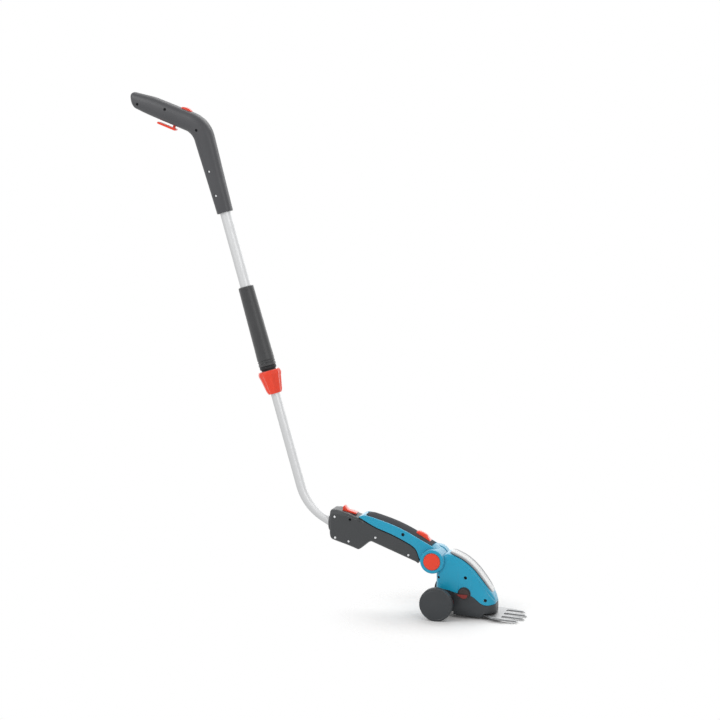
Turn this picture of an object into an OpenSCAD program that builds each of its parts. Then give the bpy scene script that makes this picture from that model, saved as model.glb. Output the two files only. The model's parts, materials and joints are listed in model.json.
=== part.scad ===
// Cordless grass shears on a telescopic pole, with a tilting head on two wheels.
// Millimetres. +X points to the blades, +Z is up and the wheels stand on zero.
// Most places are worked out from the wheel axle, forward to the blades and back up the pole.

/* [Pole] */
// Lean of the pole from upright, in degrees
pole_lean = 16; // [10:1:22]
// Outer diameter of the lower tube
lower_tube_d = 17; // [15:0.5:18]
// Wall of both tubes
tube_wall = 1.2; // [0.8:0.1:1.4]
// Length of the lower tube from its bend corner to the collar
lower_run = 217; // [180:1:260]
// Bare length of the upper tube under the top handle
upper_run = 142; // [100:1:180]
// How far the pole pulls out
pull_out = 350; // [200:10:380]
// Length of lower tube that stays in the upper one when pulled out
overlap = 70; // [60:1:90]
// Middle radius of the bend in the lower tube
bend_r = 95; // [70:1:110]
// Fall of the lower tube's end below level, in degrees
tube_fall = 30; // [25:1:36]

/* [Clamp and sleeve] */
// Length of the twist collar
collar_len = 44; // [40:1:52]
// Diameter of the collar's wide end over its ribs
collar_d = 44; // [42:1:52]
// Length of the grip sleeve on the pole
sleeve_len = 152; // [120:1:180]
// Diameter of the grip sleeve at its lower end
sleeve_d = 32.5; // [30:0.5:38]
// Ribs around the collar
collar_ribs = 10; // [6:1:14]

/* [Top handle] */
// Straight length of the stem that holds the upper tube
stem_len = 142; // [130:1:160]
// Depth of the stem at its lower end
stem_depth = 29; // [28:0.5:33]
// Turn from the stem into the hand grip, in degrees
grip_turn = 53; // [45:1:60]
// Straight length of the hand grip
grip_len = 125; // [115:1:135]
// Depth of the hand grip from top to underside
grip_depth = 36; // [33:0.5:40]
// Width of the hand grip
grip_width = 32; // [30:0.5:38]
// Travel of the trigger bar
trigger_travel = 4; // [2:0.5:5]
// Travel of the lock-out button
lock_travel = 3; // [2:0.5:4]

/* [Shears handle] */
// Fall of the handle below level, in degrees
handle_fall = 21; // [16:1:26]
// Length from the hinge axis to the handle's rear end
handle_len = 157; // [150:1:175]
// Width of the handle and of the cradle around it
handle_w = 42; // [41:0.5:46]
// Height of the handle's pad above the hinge axis
pad_rise = 35; // [33:0.5:38]
// Depth of the cradle below the hinge axis
cradle_depth = 17; // [16:0.5:20]
// Length of the adapter block behind the handle
block_len = 47; // [44:1:60]
// Travel of the start button
start_travel = 3; // [2:0.5:3.5]
// Travel of the release latch
latch_travel = 6; // [4:0.5:7]

/* [Hinge] */
// Hinge axis behind the wheel axle
hinge_back = 15.4; // [12:0.2:18]
// Hinge axis above the ground
hinge_rise = 101.3; // [98:0.1:106]
// Width over the two hinge ears
ear_span = 60; // [58:1:66]
// Outer diameter of the ears
ear_d = 44; // [42:0.5:48]
// Diameter of the hinge buttons
hinge_button_d = 31; // [26:0.5:33]
// Diameter of the hinge pin
hinge_pin_d = 12; // [8:0.5:13]
// Travel of the hinge buttons
hinge_travel = 3; // [2:0.5:3.5]

/* [Head] */
// Width of the head over its base
head_w = 60; // [58:1:68]
// Width of the head over its top
crown_w = 47; // [44:1:50]
// Ground clearance under the base
base_rise = 5; // [4:0.2:5.4]
// Rise of the base's underside towards the wheels, in degrees
base_tilt = 2.5; // [0:0.5:3]
// Place of the lock knobs ahead of the wheel axle
knob_ahead = 45.6; // [44:0.2:48]
// Height of the lock knobs above the ground
knob_rise = 46.7; // [45:0.1:48]
// Diameter of the lock knobs
knob_d = 19.2; // [16:0.2:20]
// Wall of every housing
shell_wall = 2.4; // [2:0.1:2.8]

/* [Wheels] */
// Diameter of the wheels
wheel_d = 61; // [54:0.5:64]
// Width of a wheel
wheel_w = 12; // [10:0.5:16]
// Distance between the wheels' middles
track = 113; // [110:1:130]
// Diameter of the wheel axle
axle_d = 8; // [6:0.5:10]

/* [Blades] */
// Fall of the blades towards their tips, in degrees
blade_fall = 5; // [3:0.5:5.5]
// Reach of the middle tips ahead of the blade's mouth
blade_reach = 64; // [58:1:66]
// Width over the outer teeth
blade_w = 80; // [72:1:90]
// Thickness of each blade
blade_t = 1.5; // [1:0.1:1.8]
// Diameter of the pin that the upper blade swings on
pivot_d = 6; // [4:0.5:7]

/* [Drive] */
// Tooth module of the drive gears
tooth_module = 0.65; // [0.55:0.05:0.7]
// Teeth on the motor pinion
pinion_teeth = 10; // [10:1:12]
// Teeth on the crank gear
gear_teeth = 60; // [54:2:60]
// Throw of the crank pin
crank_throw = 3; // [2:0.1:3.2]
// Diameter of the motor
motor_d = 28; // [24:0.5:30]
// Length of the motor can
motor_len = 38; // [30:1:45]

/* [Fits] */
// Running clearance around a turning shaft
run_fit = 0.05; // [0.02:0.01:0.08]
// Gap between pieces that move past each other
move_gap = 0.4; // [0.32:0.02:0.5]
// Gap between pieces of one assembly
seat_gap = 0.1; // [0.05:0.01:0.2]

/* [Hidden] */
$fn = 64;

right = -1;
left = 1;

turquoise = [0.10, 0.55, 0.72];
dark = [0.20, 0.21, 0.22];
black = [0.08, 0.08, 0.09];
orange = [0.90, 0.25, 0.12];
aluminium = [0.78, 0.79, 0.80];
steel = [0.62, 0.64, 0.66];
brass = [0.72, 0.58, 0.28];
green = [0.10, 0.35, 0.20];

// Tubes and clamp
lower_tube_r = lower_tube_d / 2;
lower_bore_r = lower_tube_r - tube_wall;
slide_gap = 0.32;
upper_bore_r = lower_tube_r + slide_gap;
upper_tube_r = upper_bore_r + tube_wall;
neck_len = 9;
neck_r = upper_tube_r + 3.6;
sleeve_foot = collar_len + neck_len;
stem_foot = sleeve_foot + sleeve_len + upper_run;
tube_start = 22;
inner_top = pull_out + overlap;
tube_top = max(stem_foot + 92, inner_top + 12);

// Hinge and handle
hinge_x = -hinge_back;
hinge_z = hinge_rise;
hinge_button_r = hinge_button_d / 2;
ear_r = ear_d / 2;
ear_out = ear_span / 2;
knuckle_half = 13.7;
ear_in = knuckle_half + move_gap;
ear_web = 5;
knuckle_r = ear_r - 1;
hinge_pin_r = hinge_pin_d / 2;
half_w = handle_w / 2;
hidden_half = half_w - shell_wall - move_gap;
hidden_floor = -cradle_depth + shell_wall + move_gap;
pad_t = 2.6;
pad_half = half_w - 4;

// Adapter block and the pole's foot, as places in the side view
function on_handle(s, t) = [
  hinge_x + s * cos(handle_fall) + t * sin(handle_fall),
  hinge_z - s * sin(handle_fall) + t * cos(handle_fall)
];
socket_drop = 20;
socket = on_handle(-handle_len - block_len, -socket_drop);
tube_entry = 59;
tube_depth = 33;
corner = socket + tube_entry * [-cos(tube_fall), sin(tube_fall)];
pole_up = [-sin(pole_lean), cos(pole_lean)];
tube_down = [cos(tube_fall), -sin(tube_fall)];
pole_foot = corner + lower_run * pole_up;
bend_turn = 90 - pole_lean - tube_fall;
bend_tangent = bend_r * tan(bend_turn / 2);
bend_middle = corner + (pole_up + tube_down) / norm(pole_up + tube_down) * bend_r / cos(bend_turn / 2);

// Blades and drive, measured along the blades from their mouth
mouth_x = 90;
mouth_z = 7;
gear_r = tooth_module * gear_teeth / 2;
pinion_r = tooth_module * pinion_teeth / 2;
crank_at = -24;
motor_at = crank_at - gear_r - pinion_r;
pivot_at = -56;
swing = asin(crank_throw / (crank_at - pivot_at));
upper_blade_z = blade_t + 0.05;
gear_z = 7;
gear_t = 6.5;
plate_z = 15;
plate_t = 2.5;

// Wheels
axle_z = wheel_d / 2;
axle_r = axle_d / 2;
wheel_in = track / 2 - wheel_w / 2;

// Stations of the top handle along its own middle line
grip_bend_r = 45;
grip_bend_len = grip_bend_r * grip_turn * PI / 180;
spine_len = stem_len + grip_bend_len + grip_len;
rear_cap = 9;
rear_slant = 0.55;

// Small helpers
function clamp(x, a, b) = max(a, min(b, x));
function ease(f) = let (c = clamp(f, 0, 1)) c * c * (3 - 2 * c);
function mix(a, b, f) = a + (b - a) * f;
function arc(c, r, a0, a1, n) = [for (k = [0:n]) c + r * [cos(mix(a0, a1, k / n)), sin(mix(a0, a1, k / n))]];
function step_of(t, x, i = 0) = i >= len(t) - 2 || x <= t[i + 1][0] ? i : step_of(t, x, i + 1);
function slope_of(t, i) = (t[i + 1][1] - t[i][1]) / (t[i + 1][0] - t[i][0]);

// A smooth curve through a short list of [place, value] points
function curve(t, x) =
  let (i = step_of(t, x), h = t[i + 1][0] - t[i][0], f = clamp((x - t[i][0]) / h, 0, 1), m = slope_of(t, i))
  let (
    m0 = i == 0 ? m : (m + slope_of(t, i - 1)) / 2,
    m1 = i == len(t) - 2 ? m : (m + slope_of(t, i + 1)) / 2
  )
  (2 * f ^ 3 - 3 * f ^ 2 + 1) * t[i][1] + (f ^ 3 - 2 * f ^ 2 + f) * h * m0
  + (3 * f ^ 2 - 2 * f ^ 3) * t[i + 1][1] + (f ^ 3 - f ^ 2) * h * m1;

// A wall between an outer and an inner grid of points, closed along its edges, or by a cap at its far end
module wall(outer, inner, flip = false, loop = false, cap = false) {
  rows = len(outer);
  cols = len(outer[0]);
  n = rows * cols;
  end = n - cols;
  last = loop ? rows - 1 : rows - 2;
  points = [for (g = [outer, inner]) for (r = g) for (p = r) p];
  quads = concat(
    [for (i = [0:last]) for (j = [0:cols - 2])
      let (a = i * cols + j, b = (i + 1) % rows * cols + j)
      [a, a + 1, b + 1, b]],
    [for (i = [0:last]) for (j = [0:cols - 2])
      let (a = i * cols + j, b = (i + 1) % rows * cols + j)
      [n + a, n + b, n + b + 1, n + a + 1]],
    [for (i = [0:last]) let (a = i * cols, b = (i + 1) % rows * cols) [a, b, n + b, n + a]],
    [for (i = [0:last])
      let (a = i * cols + cols - 1, b = (i + 1) % rows * cols + cols - 1)
      [b, a, n + a, n + b]],
    loop ? [] : [for (j = [0:cols - 2]) [j + 1, j, n + j, n + j + 1]],
    loop || cap ? [] : [for (a = [end:end + cols - 2]) [a, a + 1, n + a + 1, n + a]],
    cap ? [[end, n - 1, 2 * n - 1, n + end]] : []
  );
  triangles = [for (q = quads) each [[q[0], q[1], q[2]], [q[0], q[2], q[3]]]];
  caps = cap ? [[for (a = [end:n - 1]) a], [for (a = [n - 1:-1:end]) n + a]] : [];
  polyhedron(points, [for (f = concat(triangles, caps)) flip ? [for (k = [len(f) - 1:-1:0]) f[k]] : f]);
}

// A wound spring along +Z
module spring(r, wire, length, turns) {
  steps = turns * 8;
  rings = [
    for (i = [0:steps]) let (a = 45 * i, z = wire + (length - 2 * wire) * i / steps)
    [for (k = [0:5])
      [(r + wire * cos(60 * k)) * cos(a), (r + wire * cos(60 * k)) * sin(a), z + wire * sin(60 * k)]]
  ];
  points = [for (r = rings) for (p = r) p];
  faces = concat(
    [[5, 4, 3, 2, 1, 0]],
    [for (i = [0:steps - 1]) for (k = [0:5])
      let (a = 6 * i + k, b = 6 * i + (k + 1) % 6)
      each [[a, b, b + 6], [a, b + 6, a + 6]]],
    [[for (k = [0:5]) 6 * steps + k]]
  );
  polyhedron(points, [for (f = faces) [for (k = [len(f) - 1:-1:0]) f[k]]]);
}

// A screw along +Z with its head's face at zero
module screw(head_r, head_t, shank_r, length) {
  difference() {
    translate([0, 0, -head_t])
      cylinder(r = head_r, h = head_t);
    for (a = [0, 90])
      rotate([0, 0, a])
        translate([-head_r * 0.6, -0.4, -head_t * 0.6])
          cube([head_r * 1.2, 0.8, head_t]);
  }
  translate([0, 0, -length])
    cylinder(r = shank_r, h = length - head_t);
}

// Frames: the part's own, the pole's, the tube end's, the handle's, the adapter top's and the blades'
module in_part() translate([-middle_x, 0, 0]) children();
module at_pole() in_part() translate([pole_foot.x, 0, pole_foot.y]) rotate([0, -pole_lean, 0]) children();
module at_tube_end() in_part() translate([socket.x, 0, socket.y]) rotate([0, tube_fall, 0]) children();
module at_handle() in_part() translate([hinge_x, 0, hinge_z]) rotate([0, handle_fall, 0]) children();
module at_blades() in_part() translate([mouth_x, 0, mouth_z]) rotate([0, blade_fall, 0]) children();
module at_grip() {
  b = spine(stem_len + grip_bend_len);
  at_pole() translate([b.x, 0, b.y]) rotate([0, -grip_turn, 0]) children();
}
module at_block_top()
  at_handle()
    translate([-handle_len - 3, 0, block_top])
      rotate([0, -block_slope, 0])
        children();
module across(side) rotate([90 * side * -1, 0, 0]) children();

// Top handle: its middle line in the pole's frame, and the size of its section
function spine(l) =
  l <= stem_len ? [0, stem_foot + l] :
  l <= stem_len + grip_bend_len ?
    let (a = (l - stem_len) / grip_bend_len * grip_turn)
    [-grip_bend_r + grip_bend_r * cos(a), stem_foot + stem_len + grip_bend_r * sin(a)] :
    let (g = l - stem_len - grip_bend_len, b = spine(stem_len + grip_bend_len))
    b + g * [-sin(grip_turn), cos(grip_turn)];
function spine_turn(l) = clamp((l - stem_len) / grip_bend_len, 0, 1) * grip_turn;
grip_depths = [
  [0, stem_depth], [stem_len * 0.5, (stem_depth + grip_depth) / 2 + 0.5], [stem_len, grip_depth + 1.5],
  [stem_len + grip_bend_len / 2, grip_depth + 2], [stem_len + grip_bend_len, grip_depth + 0.5],
  [spine_len - 45, grip_depth - 1], [spine_len, grip_depth - 5]
];
grip_widths = [
  [0, stem_depth], [stem_len * 0.6, grip_width - 0.5], [stem_len + grip_bend_len, grip_width + 1],
  [spine_len - 40, grip_width], [spine_len, grip_width - 3]
];
function grip_half(l) = curve(grip_depths, l) / 2;
function grip_side(l) = curve(grip_widths, l) / 2;
function handle_row(l, in, size, side, squareness = 0.8) =
  let (c = spine(l), a = spine_turn(l), droop = 2 * ease((l - spine_len + 50) / 50))
  let (h = (grip_half(l) - droop - in) * size, w = (grip_side(l) - in) * size)
  let (slant = rear_slant * ease((l - spine_len + 40) / 40))
  [
    for (k = [0:10]) let (
      p = -90 + 18 * k,
      v = h * sign(p) * abs(sin(p)) ^ squareness - droop,
      y = k == 0 || k == 10 ? 0 : w * cos(p) ^ squareness
    )
    [c.x + v * cos(a) - slant * v * sin(a), side * y, c.y + v * sin(a) + slant * v * cos(a)]
  ];
top_stations = concat(
  [for (k = [0:6]) [stem_len * k / 6, 1]],
  [for (k = [1:6]) [stem_len + grip_bend_len * k / 6, 1]],
  [for (k = [1:7]) [stem_len + grip_bend_len + (grip_len - rear_cap) * k / 7, 1]],
  [for (k = [1:5]) [spine_len - rear_cap * (1 - sin(18 * k)), max(0.03, cos(18 * k) ^ 0.7)]]
);
function inner_l(l) = l * (spine_len - shell_wall) / spine_len;
function top_outer(side) = [for (s = top_stations) handle_row(s[0], 0, s[1], side)];
function top_inner(side) = [for (s = top_stations) handle_row(inner_l(s[0]), shell_wall, s[1], side)];

// The middle of the part's length lies at the origin
rear_x = min([
  for (r = top_outer(right)) for (p = r) pole_foot.x + p.x * cos(pole_lean) - p.z * sin(pole_lean)
]);
tip_x = mouth_x + blade_reach * cos(blade_fall) + blade_t * sin(blade_fall);
middle_x = (rear_x + tip_x) / 2;

// Shears handle: heights above the hinge axis along its length
cradle_front = -24;
block_slope = 8;
block_top = 16.2;
function rim(s) = curve([
  [-handle_len, 17.2], [-handle_len * 0.78, 13], [-handle_len * 0.55, 13.2], [-handle_len * 0.37, 11.3],
  [-46, 9.5], [-36, 5.5], [-30, -0.5], [cradle_front, -8]
], s);
function shoulder(s) = curve([
  [-handle_len, pad_rise - 16.5], [-handle_len + 7, pad_rise - 11.2], [-handle_len + 17, pad_rise - 9.2],
  [-handle_len * 0.76, pad_rise - 6.9], [-handle_len * 0.58, pad_rise - 5.2],
  [-handle_len * 0.4, pad_rise - 6.2],
  [-43, pad_rise - 8.4], [-25, pad_rise - 10.2], [-8, pad_rise - 12.5]
], s);
function crowning(s) = 0.3 + 4.8 * ease((s + handle_len) / 22) - 2.6 * ease((s + 45) / 37);
function pad_sink(s) = mix(0.25, pad_t, ease((s + handle_len - 4) / 4) * ease((-10 - s) / 3));
function handle_wall(s) = mix(shell_wall, 12, ease((s + 52) / 24));
function handle_section(s, in) =
  let (
    lo = hidden_floor + in, hid = hidden_half - in, out = half_w - in,
    r = max(0.8, 6 - in), step = max(rim(s), lo + r + 1.2),
    top = max(shoulder(s) - in, step + 1.2), sink = pad_sink(s), rs = min(5, (top - step - 0.4) * 0.7),
    pad = min(pad_half, out - rs * 0.6)
  )
  concat(
    [[0, lo], [hid - r, lo], [hid - r * 0.29, lo + r * 0.29], [hid, lo + r]],
    [[hid, step - 0.3], [out, step + 0.3]],
    [[out, top - rs], [out - rs * 0.2, top - rs * 0.35], [out - rs * 0.5, top - rs * 0.08]],
    [[pad, top], [pad - 0.3, top - sink]],
    [for (f = [0.78, 0.52, 0.26, 0]) [pad * f, top + crowning(s) * (1 - f * f) - sink]]
  );
handle_stations = concat(
  [for (d = [0, 3, 7, 12, 19, 29, 42, 57, 72, 87]) -handle_len + d * (handle_len - 70) / 87],
  [-60, -52, -46, -41, -37, -33, -29, -25, -20, -13, -9.5]
);
function behind_front(s) = s - 6 * ease((s + 33) / 23);
function handle_grid(side, thick) = [
  for (s = handle_stations) [
    for (p = handle_section(s, thick ? handle_wall(s) : 0))
      [thick ? behind_front(s) : s, side * p.x, p.y]
  ]
];

// Cradle: a channel under the handle that deepens into the adapter block
block_drop = 25;
function cradle_floor(s) =
  -cradle_depth - block_drop * ease((-handle_len + 38 - s) / 20) - 2.5 * ease((-handle_len + 15 - s) / 60);
function cradle_rim(s) = s >= -handle_len ? rim(s) : block_top - (-handle_len - 3 - s) * tan(block_slope);
function cradle_lean(s) = -tan(handle_fall) * ease((-handle_len + 7 - s) / (block_len + 7));
function cradle_section(s, in) =
  let (
    lo = cradle_floor(s) + in,
    hi = cradle_rim(s) - 0.3,
    w = half_w - in,
    r = max(1, min(8, (hi - cradle_floor(s)) * 0.55) - in)
  )
  [
    [0, lo], [w * 0.5, lo], [w - r, lo], [w - r * 0.5, lo + r * 0.13],
    [w - r * 0.13, lo + r * 0.5], [w, lo + r],
    [w, mix(lo + r, hi, 0.5)], [w, hi - 0.7], [w - 0.5 + in * 0.2, hi - 0.1]
  ];
cradle_stations = concat(
  [for (k = [0:5]) -handle_len - block_len * (1 - k / 5)],
  [for (d = [8, 14, 18, 21, 24, 27, 30, 33, 36, 38, 41, 60, 80]) -handle_len + d],
  [-62, -54, -46, -42, -39, -36, -33, -30, -27, cradle_front]
);
function cradle_grid(side, thick) = [
  for (s = cradle_stations) [
    for (p = cradle_section(s, thick ? shell_wall : 0))
      [s + cradle_lean(s) * (p.y + socket_drop), side * p.x, p.y]
  ]
];

// Head: its outlines along the forward axis from the wheel axle
knob_ring = 12;
head_rear = -8;
head_front = 100;
head_half = head_w / 2;
crown_half = crown_w / 2;
function head_edge(x) = curve([
  [head_rear, 53.3], [2, 53], [15, 51.5], [30, 47.5], [46, 45.5], [58, 43.2], [64, 40],
  [70, 35], [76, 30.6], [82, 28], [88, 27.2], [head_front, 28]
], x);
function head_seam(x) =
  let (d = x - knob_ahead)
  abs(d) < knob_ring ? max(head_edge(x), knob_rise + sqrt(knob_ring ^ 2 - d ^ 2)) : head_edge(x);
function head_top(x) = curve([
  [head_rear, 88], [-3, 104], [4, 112], [10, 115.3], [17, 115.6], [25, 113], [43, 104.2], [61, 89.5],
  [79, 67.8], [90, 52.6], [95, 45], [98.5, 37], [head_front, 31.2]
], x);
function head_side(x) = curve([
  [head_rear, head_half - 8], [-4, head_half - 3], [2, head_half - 0.6], [10, head_half], [40, head_half],
  [72, head_half], [78, head_half - 0.1], [86, head_half - 1.5], [92, head_half - 5],
  [96, head_half - 9.5], [99, head_half - 15], [head_front, head_half - 18]
], x);
function head_crown(x) = curve([
  [head_rear, crown_half - 5], [-4, crown_half - 1.5], [4, crown_half - 0.4],
  [20, crown_half], [60, crown_half],
  [80, crown_half - 1], [90, crown_half - 3.5], [96, crown_half - 8.5], [head_front, crown_half - 14]
], x);
function head_section(x, in) =
  let (
    lo = head_seam(x), hi = max(head_top(x) - in, lo + 0.5), foot = head_side(x) - in, w = head_crown(x) - in,
    r = min(max(1, 7 - in), (hi - lo) * 0.4), lean = (foot - w) / max(1, hi - lo)
  )
  concat(
    [
      [foot, lo],
      [foot - lean * (hi - lo - r) * 0.35, mix(lo, hi - r, 0.35)],
      [foot - lean * (hi - lo - r) * 0.7, mix(lo, hi - r, 0.7)]
    ],
    [for (p = arc([w - r, hi - r], r, 0, 90, 3)) p],
    [[(w - r) * 0.66, hi + 0.5], [(w - r) * 0.33, hi + 0.9], [0, hi + 1]]
  );
knob_stations = [for (k = [0:8]) knob_ahead - knob_ring * cos(22.5 * k)];
head_stations = concat(
  [head_rear, -6, -3, 1, 5, 10, 15, 20, 25, 29], knob_stations,
  [61, 64, 67, 70, 74, 78, 82, 86, 89, 92, 94, 96, 97.5, 98.7, 99.5, head_front]
);
function head_grid(side, in) = [
  for (x = head_stations)
    [for (p = head_section(x, in)) [x + (x == head_front ? -in * 0.5 : 0), side * p.x, p.y]]
];

// Base: a wall around the drive, cut back at the front where the blades come out
case_rear = 26;
case_front = 100.6;
blade_clear = 11.4;
case_stations = concat(
  [case_rear, 30],
  knob_stations,
  [61, 66, 70, 74, 77, 80, 83, 86, 90, 93, 96, 98, 99.3, head_front]
);
case_rim_gap = 0.7;
cover_front = 80;
function base_low(x) = base_rise + max(0, cover_front - x) * tan(base_tilt);
function case_low(x) = mix(base_low(x), blade_clear, ease((x - 77) / 6));
function case_outline() = concat(
  [for (x = case_stations) [x, -head_side(x)]], [[case_front, -6], [case_front, 6]],
  [for (k = [len(case_stations) - 1:-1:0]) let (x = case_stations[k]) [x, head_side(x)]],
  [[case_rear, 12], [case_rear, -12]]
);
function case_inset(p) = [
  mix(case_rear + shell_wall, case_front - shell_wall, (p.x - case_rear) / (case_front - case_rear)),
  p.y * (1 - shell_wall / head_half)
];
function case_grid(thick) = [
  for (p = case_outline()) let (q = thick ? case_inset(p) : p, x = clamp(p.x, case_rear, head_front))
  [[q.x, q.y, case_low(x)], [q.x, q.y, head_seam(x) - case_rim_gap]]
];
case_half = head_half - shell_wall;

// Pole

module upper_tube() color(aluminium) at_pole()
  translate([0, 0, tube_start])
    difference() {
      cylinder(r = upper_tube_r, h = tube_top - tube_start);
      translate([0, 0, -1])
        cylinder(r = upper_bore_r, h = tube_top - tube_start + 2);
    }

module grip_sleeve() color(dark) at_pole() {
  bore = upper_tube_r + seat_gap;
  big = sleeve_d / 2;
  top = sleeve_foot + sleeve_len;
  rotate_extrude()
    polygon(concat(
      [[bore, sleeve_foot + 0.2], [big - 1, sleeve_foot + 0.2], [big, sleeve_foot + 1.2]],
      [for (k = [0:1])
        let (z = sleeve_foot + 5 + 4 * k)
        each [[big, z], [big - 1, z + 0.5], [big - 1, z + 1.5], [big, z + 2]]],
      [[big - 0.4, sleeve_foot + 30], [big - 1.9, top - 2.5]],
      arc([big - 3.9, top - 2], 2, 0, 90, 4),
      [[bore, top]]
    ));
}

module clamp_body() color(black) at_pole() {
  bore = upper_tube_r + seat_gap;
  grip_bore = lower_tube_r + move_gap;
  collet = upper_tube_r + 1.4;
  difference() {
    rotate_extrude()
      polygon([
        [grip_bore, 4], [collet - 1.6, 4], [collet, 9], [collet, 19],
        [neck_r, 19.5], [neck_r, collar_len + 3],
        [sleeve_d / 2 - 0.6, collar_len + 3.5], [sleeve_d / 2 - 0.6, sleeve_foot], [bore, sleeve_foot],
        [bore, tube_start], [grip_bore, tube_start]
      ]);
    for (a = [45, 135])
      rotate([0, 0, a])
        translate([-20, -0.8, 3])
          cube([40, 1.6, 14]);
  }
}

module clamp_collar() color(orange) at_pole() {
  wide = collar_d / 2 - 1.3;
  narrow = lower_tube_r + 4.6;
  hollow = upper_tube_r + 1.4 + move_gap;
  rotate_extrude()
    polygon(concat(
      [[lower_tube_r + move_gap, 0], [narrow - 1, 0], [narrow, 1]],
      [[mix(narrow, wide, 0.8), collar_len * 0.72], [wide, collar_len * 0.8], [wide, collar_len - 1.5]],
      [[wide - 1.5, collar_len], [neck_r + move_gap, collar_len], [neck_r + move_gap, 19], [hollow, 18.5]],
      [[hollow, 3.5], [lower_tube_r + move_gap, 3]]
    ));
  for (k = [0:collar_ribs - 1])
    rotate([0, 0, 360 / collar_ribs * k])
      rotate_extrude(angle = 160 / collar_ribs)
        polygon([
          [narrow - 0.5, 2], [narrow + 0.8, 3.5], [mix(narrow, wide, 0.8) + 1.3, collar_len * 0.72],
          [wide + 1.3, collar_len * 0.8], [wide + 1.3, collar_len - 4], [wide - 0.6, collar_len - 2.5],
          [wide - 0.6, collar_len * 0.8], [mix(narrow, wide, 0.8) - 0.6, collar_len * 0.72]
        ]);
}

module tube_length(length) difference() {
  cylinder(r = lower_tube_r, h = length);
  translate([0, 0, -1])
    cylinder(r = lower_bore_r, h = length + 2);
}

// The bent tube is drawn around the middle of its bend
module lower_tube() color(aluminium) in_part()
  translate([bend_middle.x, 0, bend_middle.y])
    rotate([90, 180 - pole_lean, 0]) {
      translate([bend_r, 0, 0])
        rotate([90, 0, 0])
          tube_length(inner_top + lower_run - bend_tangent);
      rotate_extrude(angle = bend_turn)
        translate([bend_r, 0])
          difference() {
            circle(r = lower_tube_r);
            circle(r = lower_bore_r);
          }
      rotate([0, 0, bend_turn])
        translate([bend_r, 0, 0])
          rotate([-90, 0, 0])
            tube_length(tube_entry + tube_depth - bend_tangent);
    }

module tube_guide() color(black) at_pole()
  translate([0, 0, inner_top])
    difference() {
      union() {
        cylinder(r = upper_bore_r - run_fit, h = 8);
        translate([0, 0, -14])
          cylinder(r = lower_bore_r - seat_gap, h = 14.5);
      }
      translate([0, 0, -15])
        cylinder(r = lower_bore_r - 2.5, h = 24);
    }

// The bush's barrel follows the tube, and its collar lies upright on the adapter block's rear face
bush_t = 4.4;
bush_r = lower_tube_r + 4.5;

module socket_bush() color(dark)
  difference() {
    union() {
      at_tube_end()
        rotate([0, 90, 0])
          translate([0, 0, 2])
            cylinder(r = lower_tube_r + 2.5, h = tube_depth - 2);
      in_part()
        translate([socket.x - bush_t - seat_gap, 0, socket.y])
          rotate([0, 90, 0])
            linear_extrude(bush_t) {
              for (k = [-1, 1])
                translate([2 * k, 0])
                  circle(r = bush_r);
              translate([-2, -bush_r])
                square([4, 2 * bush_r]);
            }
    }
    at_tube_end()
      rotate([0, 90, 0])
        translate([0, 0, -20])
          cylinder(r = lower_tube_r + seat_gap, h = tube_depth + 30);
  }

// Top handle

trigger_from = 21;
trigger_to = 60;
trigger_bar = 4;
trigger_stem = 10;
trigger_mid = (trigger_from + trigger_to) / 2;
trigger_l = stem_len + grip_bend_len + trigger_mid;
lock_from = 4;
lock_to = 25;
lock_mid = (lock_from + lock_to) / 2;
lock_l = stem_len + grip_bend_len + lock_mid;
screw_hole_r = 2.4;
grip_screws = [[105, -6], [50, 5]];
stem_screws = [[-6, 158], [-4, 79], [-4, 33]];

module top_handle(side) color(dark) {
  difference() {
    at_pole()
      wall(top_outer(side), top_inner(side), side < 0);
    at_grip() {
      translate([-grip_half(trigger_l) - 6, -4 - move_gap, trigger_from + 3])
        cube([14, 8 + 2 * move_gap, trigger_stem + 2 * move_gap]);
      translate([grip_half(lock_l) - 8, -5 - move_gap, lock_from - move_gap])
        cube([14, 10 + 2 * move_gap, lock_to - lock_from + 2 * move_gap]);
      if (side == right)
        for (p = grip_screws)
          translate([p.y, 0, p.x])
            across(right)
              cylinder(r = screw_hole_r, h = 40);
    }
    if (side == right)
      at_pole()
        for (p = stem_screws)
          translate([p.x, 0, stem_foot + p.y])
            across(right)
              cylinder(r = screw_hole_r, h = 40);
  }
}

module top_handle_right() top_handle(right);
module top_handle_left() top_handle(left);

// A screw whose head sits a little under the skin of a right-hand shell
module side_screw(skin, sunk, length)
  translate([0, -(skin - sunk), 0])
    across(right)
      screw(screw_hole_r - seat_gap, min(2, length * 0.6), 1.4, length);

module top_handle_screws() color(steel) {
  at_grip()
    for (p = grip_screws)
      translate([p.y, 0, p.x])
        side_screw(grip_side(stem_len + grip_bend_len + p.x) - 0.8, 0.9, 9);
  at_pole()
    for (p = stem_screws)
      translate([p.x, 0, stem_foot + p.y])
        side_screw(grip_side(p.y) - 0.6, 0.7, p.y > 100 ? 9 : 3.4);
}

module trigger() color(orange) at_grip() {
  h = grip_half(trigger_l);
  bar_top = -h - trigger_travel - move_gap;
  r = trigger_bar / 2;
  translate([0, 6, 0])
    rotate([90, 0, 0])
      linear_extrude(12) {
        for (z = [trigger_from + r, trigger_to - r])
          translate([bar_top - r, z])
            circle(r = r);
        translate([bar_top - trigger_bar, trigger_from + r])
          square([trigger_bar, trigger_to - trigger_from - trigger_bar]);
      }
  translate([bar_top - 1, -4, trigger_from + 3 + move_gap])
    cube([trigger_travel + move_gap + shell_wall + 6, 8, trigger_stem]);
  translate([-h + shell_wall + 2, -6, trigger_from + 1])
    cube([3, 12, trigger_to - trigger_from - 2]);
}

module trigger_switch() color(black) at_grip() {
  h = grip_half(trigger_l);
  w = grip_side(trigger_l) - shell_wall - seat_gap * 2;
  translate([0, -w, trigger_mid - 12])
    cube([2, 2 * w, 24]);
  translate([-6, -3.2, trigger_mid - 12])
    cube([6, 6.4, 18]);
}

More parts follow.
